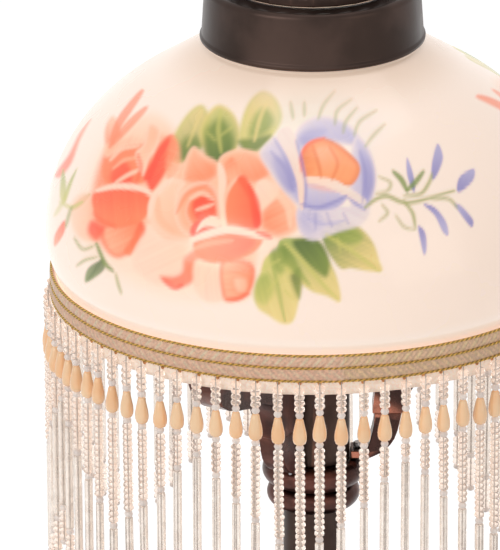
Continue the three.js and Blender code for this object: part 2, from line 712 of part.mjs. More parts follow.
armAzimuths.forEach((azimuth, i) => {
  const pinBottom = ARM_SPLIT - PIN_LENGTH / 2;
  const pinTop = ARM_SPLIT + PIN_LENGTH / 2;
  const pinHole = upright(
    PIN_RADIUS + SEAT_GAP,
    pinBottom - SEAT_GAP,
    pinTop + SEAT_GAP,
    PIN_REACH,
    azimuth,
    8,
  );
  const footHole = upright(
    SCREW_RADIUS + SEAT_GAP,
    FOOT_BOTTOM - 1,
    FOOT_SCREW_TOP + 1,
    FOOT_SCREW_REACH,
    azimuth,
    8,
  );
  const tipHole = upright(
    SCREW_RADIUS + SEAT_GAP,
    RING_TOP - SCREW_LENGTH - SEAT_GAP,
    RING_TOP + 1,
    RING_SCREW_REACH,
    azimuth,
    8,
  );
  const lower = bracket(armLowerOutline(), ARM_WIDTH - 2, azimuth);
  const upper = bracket(armUpperOutline(), ARM_WIDTH, azimuth);
  add(`arm_lower_${i + 1}`, cut(lower, pinHole, footHole), BRONZE);
  add(`arm_upper_${i + 1}`, cut(upper, pinHole, tipHole), BRONZE);
  add(`arm_pin_${i + 1}`, upright(PIN_RADIUS, pinBottom, pinTop, PIN_REACH, azimuth, 8), STEEL);
  add(`hub_screw_${i + 1}`, screw(FOOT_SCREW_TOP, FOOT_SCREW_REACH, azimuth), BRONZE);
  add(`ring_screw_${i + 1}`, screw(RING_TOP, RING_SCREW_REACH, azimuth), BRONZE);
});

// A cheese-head screw standing in its hole, its head on a face at the given height.
function screw(face, reach, azimuth) {
  const under = face + SEAT_GAP;
  const shape = turned(
    [
      point(0, face - SCREW_LENGTH),
      point(SCREW_RADIUS, face - SCREW_LENGTH),
      point(SCREW_RADIUS, under),
      point(SCREW_HEAD_RADIUS, under),
      point(SCREW_HEAD_RADIUS, under + SCREW_HEAD_HEIGHT),
      point(0, under + SCREW_HEAD_HEIGHT),
    ],
    8,
  );
  return shape.translate(reach, 0, 0).rotateZ(radians(azimuth));
}

// ---------------------------------------------------------------- shade ring
function shadeRing() {
  const body = turned(
    [
      point(RING_INNER, RING_BOTTOM),
      point(SHADE_RIM_RADIUS, RING_BOTTOM),
      point(SHADE_RIM_RADIUS, RING_TOP),
      point(RING_LIP_OUTER, RING_TOP),
      point(RING_LIP_OUTER, RING_TOP + RING_LIP_HEIGHT),
      point(RING_LIP_INNER, RING_TOP + RING_LIP_HEIGHT),
      point(RING_LIP_INNER, RING_TOP),
      point(RING_INNER, RING_TOP),
    ],
    LARGE_TURN,
  );
  const holes = armAzimuths.map((azimuth) =>
    upright(SCREW_RADIUS + SEAT_GAP, RING_BOTTOM - 1, RING_TOP + 1, RING_SCREW_REACH, azimuth, 8),
  );
  return cut(body, ...holes);
}
add("shade_ring", shadeRing(), BRONZE);

// ---------------------------------------------------------------- glass shade
// Radius of the dome at a height above its widest place: a quarter of an ellipse.
const domeRadius = (above) => SHADE_RADIUS * Math.sqrt(1 - (above / SHADE_DOME_RISE) ** 2);
const domeHeight = (radius) => SHADE_DOME_RISE * Math.sqrt(1 - (radius / SHADE_RADIUS) ** 2);

function shadeLine() {
  const widest = RIM_HEIGHT + SHADE_WIDEST_HEIGHT;
  const shoulder = domeHeight(SHADE_SHOULDER_RADIUS);
  const belly = smooth(
    [
      point(SHADE_RIM_RADIUS, RIM_HEIGHT),
      point(SHADE_RADIUS - (SHADE_RADIUS - SHADE_RIM_RADIUS) * 0.25, RIM_HEIGHT + SHADE_WIDEST_HEIGHT * 0.45),
      point(SHADE_RADIUS, widest),
    ],
    3,
  );
  const steps = 8;
  const dome = Array.from({ length: steps }, (_, i) => {
    const angle = ((i + 1) / steps) * Math.asin(shoulder / SHADE_DOME_RISE);
    const above = SHADE_DOME_RISE * Math.sin(angle);
    return point(domeRadius(above), widest + above);
  });
  const coneFoot = point(SHADE_NECK_RADIUS + 3.6, SHADE_CONE_TOP - 1.4);
  const neckTop = point(SHADE_NECK_RADIUS, SHADE_CONE_TOP + SHADE_NECK_HEIGHT);
  return [
    point(SHADE_RIM_RADIUS, SHADE_RIM_BOTTOM),
    ...belly,
    ...dome,
    coneFoot,
    point(SHADE_NECK_RADIUS, SHADE_CONE_TOP + 1.2),
    neckTop,
  ];
}
add("glass_shade", shell(shadeLine(), SHADE_WALL), OPAL);

// ---------------------------------------------------------------- braid, tape and fringe
const TAPE_TOP = RIM_HEIGHT - 1;
const TAPE_BOTTOM = SHADE_RIM_BOTTOM - TAPE_BELOW_BRAID;
add(
  "fringe_tape",
  ring(TAPE_INNER, TAPE_INNER + TAPE_THICKNESS, TAPE_BOTTOM, TAPE_TOP, LARGE_TURN),
  TAPE,
);
add(
  "fringe_braid",
  ring(BRAID_INNER, BRAID_INNER + BRAID_THICKNESS, SHADE_RIM_BOTTOM, RIM_HEIGHT, LARGE_TURN),
  BRAID,
);

// One scallop of the bead fringe: a curved slab whose hem runs down to its middle strand.
function fringePanel(index) {
  const span = (2 * Math.PI) / FRINGE_PANELS;
  const outerRadius = FRINGE_INNER + FRINGE_THICKNESS;
  const sideGap = SEAT_GAP / FRINGE_INNER;
  const start = radians(FRINGE_FIRST_AZIMUTH) + index * span + sideGap / 2;
  const steps = 8;
  const top = RIM_HEIGHT - FRINGE_START_DROP;
  const positions = [];
  for (let i = 0; i <= steps; i++) {
    const share = i / steps;
    const angle = start + share * (span - sideGap);
    const length = FRINGE_SHORT + (FRINGE_LONG - FRINGE_SHORT) * (1 - Math.abs(2 * share - 1));
    for (const radius of [FRINGE_INNER, outerRadius])
      for (const height of [top - length, top])
        positions.push(radius * Math.cos(angle), radius * Math.sin(angle), height);
  }
  // Corners of a station: 0 inner low, 1 inner high, 2 outer low, 3 outer high.
  const quads = [];
  for (let i = 0; i < steps; i++) {
    const [a, b] = [4 * i, 4 * i + 4];
    quads.push([a + 2, b + 2, b + 3, a + 3]); // outer face
    quads.push([b, a, a + 1, b + 1]); // inner face
    quads.push([a + 3, b + 3, b + 1, a + 1]); // top
    quads.push([a, b, b + 2, a + 2]); // hem
  }
  const last = 4 * steps;
  quads.push([0, 2, 3, 1]);
  quads.push([last + 2, last, last + 1, last + 3]);
  return new THREE.BufferGeometry()
    .setAttribute("position", new THREE.Float32BufferAttribute(positions, 3))
    .setIndex(quads.flatMap(([a, b, c, d]) => [a, b, c, a, c, d]));
}
for (let i = 0; i < FRINGE_PANELS; i++) add(`fringe_panel_${i + 1}`, fringePanel(i), BEADS);

// ---------------------------------------------------------------- crown
const CROWN_INNER = CROWN_RADIUS - CROWN_WALL;
const LEDGE_INNER = GALLERY_RADIUS - GALLERY_WALL;
function crownBand() {
  const roll = arc(CROWN_RADIUS + 0.5, CROWN_BOTTOM + CROWN_ROLL, CROWN_ROLL, -115, 65, 4);
  const shoulderOut = arc(
    CROWN_RADIUS - CROWN_SHOULDER,
    CROWN_TOP - CROWN_SHOULDER,
    CROWN_SHOULDER,
    0,
    90,
    4,
  );
  const shoulderIn = arc(
    CROWN_RADIUS - CROWN_SHOULDER,
    CROWN_TOP - CROWN_SHOULDER,
    CROWN_SHOULDER - CROWN_WALL,
    90,
    0,
    3,
  );
  return turned(
    [
      point(CROWN_INNER, CROWN_BOTTOM + CROWN_ROLL * 0.6),
      ...roll,
      ...shoulderOut,
      point(LEDGE_INNER, CROWN_TOP),
      point(LEDGE_INNER, CROWN_TOP - CROWN_WALL),
      ...shoulderIn,
    ],
    LARGE_TURN,
  );
}
add("crown_band", crownBand(), BRONZE);

// An arched window, cut through the gallery wall along its radius.
function windowTool(azimuth) {
  const half = WINDOW_WIDTH / 2;
  const low = GALLERY_BOTTOM + WINDOW_MARGIN;
  const high = GALLERY_TOP - WINDOW_MARGIN;
  const shape = new THREE.Shape([
    ...arc(0, low + half, half, 180, 360, 3),
    ...arc(0, high - half, half, 0, 180, 3),
  ]);
  return new THREE.ExtrudeGeometry(shape, { depth: GALLERY_WALL * 4, bevelEnabled: false })
    .translate(0, 0, -GALLERY_RADIUS - GALLERY_WALL * 1.5)
    .rotateX(Math.PI / 2)
    .rotateZ(radians(azimuth));
}
function crownGallery() {
  const wall = turned(
    [
      point(GALLERY_RADIUS - GALLERY_WALL, GALLERY_BOTTOM),
      point(GALLERY_RADIUS, GALLERY_BOTTOM),
      point(GALLERY_RADIUS, GALLERY_TOP),
      point(GALLERY_RADIUS - GALLERY_WALL, GALLERY_TOP),
    ],
    LARGE_TURN,
  );
  const windows = Array.from({ length: GALLERY_WINDOWS }, (_, i) =>
    windowTool(((i + 0.5) * 360) / GALLERY_WINDOWS),
  );
  return cut(wall, ...windows);
}
add("crown_gallery", crownGallery(), BRONZE);
add(
  "crown_rim",
  turned(
    [
      point(GALLERY_RADIUS - GALLERY_WALL, GALLERY_TOP + SEAT_GAP),
      ...arc(GALLERY_RADIUS, GALLERY_TOP + SEAT_GAP + CROWN_BEAD, CROWN_BEAD, -90, 90, 4),
      point(GALLERY_RADIUS - GALLERY_WALL, GALLERY_TOP + SEAT_GAP + 2 * CROWN_BEAD),
    ],
    LARGE_TURN,
  ),
  BRONZE,
);

// ---------------------------------------------------------------- burner
add(
  "burner_collar",
  turned([
    point(BURNER_BORE, RISER_TOP - BURNER_SPIGOT),
    point(RISER_RADIUS - RISER_WALL - SEAT_GAP, RISER_TOP - BURNER_SPIGOT),
    point(RISER_RADIUS - RISER_WALL - SEAT_GAP, FLANGE_BOTTOM),
    point(BURNER_FLANGE, FLANGE_BOTTOM),
    point(BURNER_FLANGE, FLANGE_BOTTOM + BURNER_FLANGE_THICKNESS),
    point(BURNER_BORE, FLANGE_BOTTOM + BURNER_FLANGE_THICKNESS),
  ]),
  BRASS,
);
const SHAFT_HOLE = SHAFT_RADIUS + SEAT_GAP;
function basket() {
  const flare = BASKET_BOTTOM + BASKET_HEIGHT * 0.3;
  const outer = [
    point(BURNER_BORE, BASKET_BOTTOM),
    point(BURNER_FLANGE - 2, BASKET_BOTTOM),
    point(BASKET_RADIUS, flare),
    point(BASKET_RADIUS, BASKET_TOP),
  ];
  const inner = [
    point(BASKET_RADIUS - BASKET_WALL, BASKET_TOP),
    point(BASKET_RADIUS - BASKET_WALL, flare + BASKET_WALL * 0.4),
    point(BURNER_FLANGE - 2.6, BASKET_BOTTOM + BASKET_WALL),
    point(BURNER_BORE, BASKET_BOTTOM + BASKET_WALL),
  ];
  const level = BASKET_TOP - BASKET_HOLE_RADIUS - 3;
  const holes = Array.from({ length: BASKET_HOLES }, (_, i) =>
    crosswise(BASKET_HOLE_RADIUS, BASKET_RADIUS - 4, BASKET_RADIUS + 3, 0, level, 6).rotateZ(
      (i * 2 * Math.PI) / BASKET_HOLES,
    ),
  );
  const holeEnds = [-BASKET_RADIUS - 3, -BASKET_RADIUS / 2];
  const shaftHole = crosswise(SHAFT_HOLE, ...holeEnds, SHAFT_OFFSET, SHAFT_LEVEL, 8);
  return cut(turned([...outer, ...inner], MIDDLE_TURN), ...holes, shaftHole);
}
add("burner_basket", basket(), BRASS);

const FLANGE_PLATE_BOTTOM = BASKET_BOTTOM + BASKET_WALL + SEAT_GAP;
const EAR_INNER = TUBE_HALF_X + 0.4;
const EAR_THICKNESS = 1.6;
const EAR_HALF_HEIGHT = 3.5;
const EAR_RIM = 1.5;
const WHEEL_WINDOW = 0.6; // room round each wheel in the tube's wall
// The wick's guide: a flat tube on a round plate, with two ears that carry the shaft.
function wickTube() {
  const plate = upright(BURNER_BORE + 2, FLANGE_PLATE_BOTTOM, FLANGE_PLATE_BOTTOM + 1, 0, 0, MIDDLE_TURN);
  const outside = box(
    [-TUBE_HALF_X, -TUBE_HALF_Y, FLANGE_PLATE_BOTTOM - 6],
    [TUBE_HALF_X, TUBE_HALF_Y, TUBE_TOP],
  );
  const ears = [-1, 1].map((side) => {
    const reach = EAR_INNER + EAR_THICKNESS;
    const [low, high] = side > 0 ? [TUBE_HALF_X - 0.5, reach] : [-reach, 0.5 - TUBE_HALF_X];
    return box(
      [low, TUBE_HALF_Y - 1, SHAFT_LEVEL - EAR_HALF_HEIGHT],
      [high, SHAFT_OFFSET + SHAFT_HOLE + EAR_RIM, SHAFT_LEVEL + EAR_HALF_HEIGHT],
    );
  });
  const inside = box(
    [TUBE_WALL - TUBE_HALF_X, TUBE_WALL - TUBE_HALF_Y, FLANGE_PLATE_BOTTOM - 8],
    [TUBE_HALF_X - TUBE_WALL, TUBE_HALF_Y - TUBE_WALL, TUBE_TOP + 2],
  );
  const windows = [-1, 1].map((side) => {
    const middle = (side * WHEEL_SPACING) / 2;
    const halfWidth = WHEEL_THICKNESS / 2 + WHEEL_WINDOW;
    const halfHeight = WHEEL_RADIUS + WHEEL_WINDOW;
    return box(
      [middle - halfWidth, 0, SHAFT_LEVEL - halfHeight],
      [middle + halfWidth, TUBE_HALF_Y + 1, SHAFT_LEVEL + halfHeight],
    );
  });
  const earHole = crosswise(SHAFT_HOLE, -20, 20, SHAFT_OFFSET, SHAFT_LEVEL, 8);
  return cut(join(plate, outside, ...ears), inside, ...windows, earHole);
}
add("wick_tube", wickTube(), BRASS);

// The deck carries the chimney, with spring prongs standing round its edge.
function gallery() {
  const deck = ring(TUBE_HALF_X + 2.5, DECK_RADIUS, DECK_BOTTOM, DECK_TOP);
  const prongs = Array.from({ length: PRONG_COUNT }, (_, i) =>
    box(
      [PRONG_INNER, -PRONG_WIDTH / 2, DECK_BOTTOM + 0.2],
      [PRONG_INNER + 1, PRONG_WIDTH / 2, PRONG_TOP],
    ).rotateZ(((i + 0.5) * 2 * Math.PI) / PRONG_COUNT),
  );
  return join(deck, ...prongs);
}
add("chimney_gallery", gallery(), BRASS);
function burnerCone() {
  const outer = [
    point(CONE_RADIUS, CHIMNEY_BOTTOM),
    point(CONE_RADIUS, CHIMNEY_BOTTOM + 2.5),
    ...arc(0, 0, 1, 10, 90, 6).map((p) =>
      point(CONE_RADIUS * p.x, CHIMNEY_BOTTOM + 2.5 + (CONE_HEIGHT - 2.5) * p.y),
    ),
  ];
  outer[outer.length - 1] = point(0, CONE_TOP);
  const inner = outer.map((p) => point(Math.max(p.x - 0.9, 0), p.y - (p.x < CONE_RADIUS - 1 ? 0.9 : 0)));
  inner[0] = point(CONE_RADIUS - 0.9, CHIMNEY_BOTTOM);
  const slot = box(
    [-WICK_WIDTH / 2 - 1.2, -WICK_THICKNESS / 2 - 1.2, CONE_TOP - 8],
    [WICK_WIDTH / 2 + 1.2, WICK_THICKNESS / 2 + 1.2, CONE_TOP + 2],
  );
  return cut(turned([...outer, ...inner.reverse()], MIDDLE_TURN), slot);
}
add("burner_cone", burnerCone(), BRASS);

// ---------------------------------------------------------------- wick and its raiser
const WICK_TOP = CONE_TOP + WICK_ABOVE_CONE;
add(
  "wick",
  box(
    [-WICK_WIDTH / 2, -WICK_THICKNESS / 2, WICK_TOP - WICK_LENGTH],
    [WICK_WIDTH / 2, WICK_THICKNESS / 2, WICK_TOP],
  ),
  WICK,
);
const SHAFT_END = EAR_INNER + EAR_THICKNESS + 1;
add("wick_shaft", crosswise(SHAFT_RADIUS, -SHAFT_REACH, SHAFT_END, SHAFT_OFFSET, SHAFT_LEVEL, 12), BRASS);
[-1, 1].forEach((side, i) => {
  const centre = (side * WHEEL_SPACING) / 2;
  const teeth = 10;
  const outline = Array.from({ length: teeth * 2 }, (_, k) => {
    const radius = k % 2 ? WHEEL_RADIUS - 1 : WHEEL_RADIUS;
    const angle = (k * Math.PI) / teeth;
    return point(radius * Math.cos(angle), radius * Math.sin(angle));
  });
  const shape = new THREE.Shape(outline);
  shape.holes.push(
    new THREE.Path(arc(0, 0, SHAFT_RADIUS + SEAT_GAP, 0, 360 - 45, 7)),
  );
  const wheel = new THREE.ExtrudeGeometry(shape, { depth: WHEEL_THICKNESS, bevelEnabled: false })
    .translate(0, 0, -WHEEL_THICKNESS / 2)
    .rotateY(Math.PI / 2)
    .translate(centre, SHAFT_OFFSET, SHAFT_LEVEL);
  add(`wick_wheel_${i + 1}`, wheel, BRASS);
});
// A milled knob: a disc with round lobes, on the end of the shaft.
function knob() {
  const outline = Array.from({ length: KNOB_LOBES * 4 }, (_, k) => {
    const angle = (k * 2 * Math.PI) / (KNOB_LOBES * 4);
    const radius = KNOB_RADIUS - 0.5 * Math.abs(Math.sin((angle * KNOB_LOBES) / 2));
    return point(radius * Math.cos(angle), radius * Math.sin(angle));
  });
  const disk = new THREE.ExtrudeGeometry(new THREE.Shape(outline), {
    depth: KNOB_THICKNESS,
    bevelEnabled: false,
  })
    .rotateY(Math.PI / 2)
    .translate(-SHAFT_REACH - SEAT_GAP - KNOB_THICKNESS, SHAFT_OFFSET, SHAFT_LEVEL);
  return disk;
}
add("wick_knob", knob(), BRASS);

// ---------------------------------------------------------------- chimney
function chimneyLine() {
  const up = (share) => CHIMNEY_BOTTOM + CHIMNEY_HEIGHT * share;
  return [
    point(CHIMNEY_BASE_RADIUS, CHIMNEY_BOTTOM),
    ...smooth(
      [
        point(CHIMNEY_BASE_RADIUS, CHIMNEY_BOTTOM + CHIMNEY_FITTER),
        point(CHIMNEY_BULGE_RADIUS, up(0.18)),
        point((CHIMNEY_BULGE_RADIUS + CHIMNEY_TOP_RADIUS) / 2, up(0.32)),
        point(CHIMNEY_TOP_RADIUS, up(0.52)),
        point(CHIMNEY_TOP_RADIUS - 0.6, up(0.75)),
        point(CHIMNEY_TOP_RADIUS, up(1)),
      ],
      11,
    ),
  ];
}
add("chimney", shell(chimneyLine(), CHIMNEY_WALL, MIDDLE_TURN), CLEAR_GLASS);

export default root;
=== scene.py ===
# %% [markdown]
# # An oil lamp with a painted glass shade
#
# The lamp is a set of turned and cast bronze pieces that carry an oil font, a burner with its wick and
# clear chimney, and an opal glass shade. Roses are painted on the shade, and a braid and a deep fringe of
# glass beads hang from its rim. The solid model already holds every size and place, so this lesson loads
# it as a fixed frame and only gives each piece its finer shape and its finish.
#
# Sizes in the code are in millimetres where a maker would say them so, and `MM` turns them into metres.

# %% Load the fixed frame
import bmesh
import bpy
from mathutils import Matrix, Vector
import math
import numpy as np


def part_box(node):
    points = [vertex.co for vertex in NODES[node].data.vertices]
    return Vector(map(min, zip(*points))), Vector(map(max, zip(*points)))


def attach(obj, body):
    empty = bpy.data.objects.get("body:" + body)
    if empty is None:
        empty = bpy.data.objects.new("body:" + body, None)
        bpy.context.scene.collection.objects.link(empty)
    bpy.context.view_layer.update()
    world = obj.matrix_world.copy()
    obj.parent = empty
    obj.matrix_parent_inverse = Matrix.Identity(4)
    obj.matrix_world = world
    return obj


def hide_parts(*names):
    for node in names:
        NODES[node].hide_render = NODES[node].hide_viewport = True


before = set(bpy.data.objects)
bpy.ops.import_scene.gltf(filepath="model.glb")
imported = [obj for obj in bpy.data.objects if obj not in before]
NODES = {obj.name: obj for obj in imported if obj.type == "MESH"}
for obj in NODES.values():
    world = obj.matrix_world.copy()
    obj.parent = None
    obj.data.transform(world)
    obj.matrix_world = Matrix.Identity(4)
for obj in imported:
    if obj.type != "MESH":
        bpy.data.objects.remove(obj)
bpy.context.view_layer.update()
MM = 0.001

# %% [markdown]
# ## Camera
#
# The lamp is looked at from the front and from about twenty degrees above the level. A long lens from far
# away keeps the near and the far beads almost the same size. The camera turns about its line of sight by
# less than a degree, as a camera held by hand does.

# %% Camera
VIEW_HEIGHT = 20.2
VIEW_DISTANCE = 2.5
VIEW_ROLL = -0.3
VIEW_LENS = 427.7
LOOK_AT = np.array([-0.0241, 0.0, 0.2498])


def camera_axes(elevation, roll):
    """Columns right, up and back of a camera that looks along +Y and down by elevation, then rolls. In
    words: back is (0, -cos e, sin e), right starts as +X, up is back x right, and both turn about back by
    the roll."""
    e, k = math.radians(elevation), math.radians(roll)
    back = np.array([0.0, -math.cos(e), math.sin(e)])
    right = np.array([1.0, 0.0, 0.0])
    up = np.cross(back, right)
    turned = math.cos(k) * right + math.sin(k) * up
    return turned, np.cross(back, turned), back


right, up, back = camera_axes(VIEW_HEIGHT, VIEW_ROLL)
camera_data = bpy.data.cameras.new("front_camera")
camera_data.lens = VIEW_LENS
camera_data.sensor_width = 36
camera_data.clip_start = 0.05
camera_data.clip_end = 50
camera = bpy.data.objects.new("front_camera", camera_data)
bpy.context.scene.collection.objects.link(camera)
pose = np.eye(4)
pose[:3, 0], pose[:3, 1], pose[:3, 2] = right, up, back
pose[:3, 3] = LOOK_AT + VIEW_DISTANCE * back
camera.matrix_world = Matrix(pose.tolist())
bpy.context.scene.camera = camera
print("camera at", np.round(pose[:3, 3], 3).tolist())

# %% [markdown]
# ## Floor, light and background
#
# A plain studio: a pale floor, a large soft lamp on the left in front, a weaker one on the right, and one
# above. Opal glass is pale, so the lamps stay low enough that it never burns out. The background is white
# because the world's colour is white for the camera and for what glass and metal mirror, while its light
# stays modest.

# %% Studio
def directly_seen(nodes, links):
    """An output that is 1 for what the camera sees straight, through glass or in a mirror, and else 0:
    the greatest of three flags of the light path."""
    path = nodes.new("ShaderNodeLightPath")
    greatest = path.outputs["Is Camera Ray"]
    for flag in ("Is Transmission Ray", "Is Glossy Ray"):
        most = nodes.new("ShaderNodeMath")
        most.operation = "MAXIMUM"
        links.new(greatest, most.inputs[0])
        links.new(path.outputs[flag], most.inputs[1])
        greatest = most.outputs[0]
    return greatest


def ranged(nodes, links, value, low, high):
    """An output that runs from low to high as value runs from 0 to 1."""
    node = nodes.new("ShaderNodeMapRange")
    node.inputs["To Min"].default_value, node.inputs["To Max"].default_value = low, high
    links.new(value, node.inputs["Value"])
    return node.outputs[0]


def area_lamp(name, place, aim, size, power, tint):
    """A square soft lamp at place that faces aim: its -Z axis is the line from place to aim."""
    data = bpy.data.lights.new(name, "AREA")
    data.size, data.energy, data.color = size, power, tint
    lamp = bpy.data.objects.new(name, data)
    bpy.context.scene.collection.objects.link(lamp)
    direction = (np.array(aim) - np.array(place)).tolist()
    line = Vector(direction).to_track_quat("-Z", "Y").to_matrix()
    lamp.matrix_world = Matrix.Translation(place) @ line.to_4x4()
    return lamp


area_lamp("key_lamp", (-1.5, -1.7, 1.3), (0, 0, 0.3), 1.3, 16.5, (1.0, 0.985, 0.97))
area_lamp("fill_lamp", (1.7, -1.5, 0.9), (0, 0, 0.25), 1.4, 5, (1.0, 0.88, 0.78))
area_lamp("top_lamp", (0.1, 0.3, 2.0), (0, 0, 0.3), 1.2, 6, (1.0, 1.0, 1.0))
bpy.context.scene.view_settings.view_transform = "Standard"

world = bpy.data.worlds.new("white_studio")
bpy.context.scene.world = world
world.use_nodes = True
tree = world.node_tree
tree.nodes.clear()
shine = tree.nodes.new("ShaderNodeBackground")
shine.inputs["Color"].default_value = (1, 1, 1, 1)
level = ranged(tree.nodes, tree.links, directly_seen(tree.nodes, tree.links), 0.3, 1.0)
tree.links.new(level, shine.inputs["Strength"])
out = tree.nodes.new("ShaderNodeOutputWorld")
tree.links.new(shine.outputs[0], out.inputs["Surface"])

bpy.ops.mesh.primitive_plane_add(size=6, location=(0, 0, -0.0002))
floor = bpy.context.object
floor.name = "studio_floor"
print("studio ready")

# %% Floor finish
def fresh(name, **sockets):
    """A new material, its nodes, its links and its Principled shader, with the named sockets set."""
    m = bpy.data.materials.new(name)
    m.use_nodes = True
    shader = m.node_tree.nodes["Principled BSDF"]
    for label, value in sockets.items():
        shader.inputs[label.replace("_", " ")].default_value = value
    return m, m.node_tree.nodes, m.node_tree.links, shader


paper, nodes, links, body = fresh("pale_floor_paper", Roughness=0.8, Emission_Color=(1, 1, 1, 1))
place = nodes.new("ShaderNodeTexCoord")
grain = nodes.new("ShaderNodeTexNoise")
grain.inputs["Scale"].default_value = 90
ramp = nodes.new("ShaderNodeValToRGB")
ramp.color_ramp.elements[0].color = (0.86, 0.86, 0.855, 1)
ramp.color_ramp.elements[1].color = (0.9, 0.9, 0.895, 1)
links.new(place.outputs["Object"], grain.inputs["Vector"])
links.new(grain.outputs["Fac"], ramp.inputs["Fac"])
links.new(ramp.outputs["Color"], body.inputs["Base Color"])
glow = ranged(nodes, links, directly_seen(nodes, links), 0.0, 0.62)
links.new(glow, body.inputs["Emission Strength"])
floor.data.materials.append(paper)

# %% [markdown]
# ## Helpers for turned pieces
#
# A turned piece is one outline spun round the axis. The frame's own mesh holds that outline on any half
# plane through the axis, so it is read from there, which keeps the piece exactly where the frame has it.
# The outline is then refined: gentle bends become smooth curves, real corners get the small rounding that
# a lathe or a mould leaves, and the spin has many more steps.

# %% Read an outline from the frame
def outline_of(node, azimuth):
    """Ordered (r, z) outline of a turned node, in metres. In words: the corner nearest to the azimuth
    picks a half plane, and of all mesh edges, those whose two ends lie in it are kept and joined end to
    end."""
    mesh = NODES[node].data
    co = np.empty(len(mesh.vertices) * 3)
    mesh.vertices.foreach_get("co", co)
    co = co.reshape(-1, 3)
    ends = np.empty(len(mesh.edges) * 2, int)
    mesh.edges.foreach_get("vertices", ends)
    _, first, same = np.unique(np.round(co * 1e5).astype(int), axis=0, return_index=True,
                               return_inverse=True)
    co, same = co[first], same.reshape(-1)
    ends = np.unique(np.sort(same[ends].reshape(-1, 2), axis=1), axis=0)
    around = np.degrees(np.arctan2(co[:, 1], co[:, 0]))
    away = np.abs((around - azimuth + 180) % 360 - 180) + 999 * (np.hypot(co[:, 0], co[:, 1]) < 1e-3)
    a = math.radians(around[away.argmin()])
    off = np.abs(co[:, 0] * math.sin(a) - co[:, 1] * math.cos(a))
    along = co[:, 0] * math.cos(a) + co[:, 1] * math.sin(a)
    on = (off < 4e-5) & (along > -1e-5)
    ends = ends[on[ends].all(axis=1) & (ends[:, 0] != ends[:, 1])]
    near = {}
    for p, q in ends.tolist():
        near.setdefault(p, []).append(q)
        near.setdefault(q, []).append(p)
    tips = [p for p, others in near.items() if len(others) == 1]
    start = min(tips or near, key=lambda p: co[p, 2])
    chain, seen = [start], {start}
    while True:
        onward = [q for q in near[chain[-1]] if q not in seen]
        if not onward:
            break
        chain.append(onward[0])
        seen.add(onward[0])
    line = np.column_stack([along[chain], co[chain, 2]])
    return line, not tips


# %% Refine an outline
def turning(line, closed):
    """Angle in degrees by which an outline bends at each of its points."""
    before = line - np.roll(line, 1, axis=0)
    after = np.roll(line, -1, axis=0) - line
    cross = before[:, 0] * after[:, 1] - before[:, 1] * after[:, 0]
    bend = np.abs(np.degrees(np.arctan2(cross, (before * after).sum(axis=1))))
    if not closed:
        bend[[0, -1]] = 180
    return bend


def refined(line, closed, corner=38, steps=4, round_by=0.3 * MM):
    """The same outline with smooth bends and rounded corners. In words: between two points that aren't
    corners runs a cubic with tangents (next - previous) / 2 limited to the segment's own length, and a
    corner is a short parabola that starts and ends round_by away from it."""
    bend = turning(line, closed)
    n = len(line)
    sharp = bend > corner
    made = []
    span = n if closed else n - 1
    for i in range(span):
        p, q = line[i], line[(i + 1) % n]
        length = np.hypot(*(q - p))
        cut = min(round_by, 0.35 * length)
        way = (q - p) / max(length, 1e-9)
        t0 = way * length if sharp[i] else (line[(i + 1) % n] - line[i - 1]) / 2
        t1 = way * length if sharp[(i + 1) % n] else (line[(i + 2) % n] - line[i]) / 2
        t0 = t0 * min(1, length / max(np.hypot(*t0), 1e-9))
        t1 = t1 * min(1, length / max(np.hypot(*t1), 1e-9))
        first = p + way * cut if sharp[i] and (closed or i > 0) else p
        last = q - way * cut if sharp[(i + 1) % n] and (closed or i < span - 1) else q
        straight = sharp[i] and sharp[(i + 1) % n]
        s = np.linspace(0, 1, 2 if straight else steps + 1)[:, None]
        piece = (
            (2 * s**3 - 3 * s**2 + 1) * first
            + (s**3 - 2 * s**2 + s) * t0
            + (-2 * s**3 + 3 * s**2) * last
            + (s**3 - s**2) * t1
        )
        made.extend(piece if sharp[(i + 1) % n] else piece[:-1])
        if sharp[(i + 1) % n] and (closed or i < span - 1):
            r = line[(i + 2) % n]
            ahead = (r - q) / max(np.hypot(*(r - q)), 1e-9)
            far = q + ahead * min(round_by, 0.35 * np.hypot(*(r - q)))
            u = np.array([[1 / 3], [2 / 3]])
            made.extend((1 - u) ** 2 * last + 2 * u * (1 - u) * q + u**2 * far)
    if not closed and not sharp[-1]:
        made.append(line[-1])
    made = np.array(made)
    keep = np.ones(len(made), bool)
    keep[1:] = np.hypot(*(made[1:] - made[:-1]).T) > 1e-6
    made = made[keep]
    if closed and np.hypot(*(made[0] - made[-1])) < 1e-6:
        made = made[:-1]
    return made


# %% Make a mesh from a grid
def grid_faces(rows, columns, close_rows, close_columns):
    """Quads of a grid whose point (i, j) has number i * columns + j; closing joins the last row or column
    to the first."""
    i = np.arange(rows if close_rows else rows - 1)[:, None]
    j = np.arange(columns if close_columns else columns - 1)[None, :]
    k, l = (i + 1) % rows, (j + 1) % columns
    quads = np.stack([i * columns + j, i * columns + l, k * columns + l, k * columns + j], axis=-1)
    return quads.reshape(-1, 4)


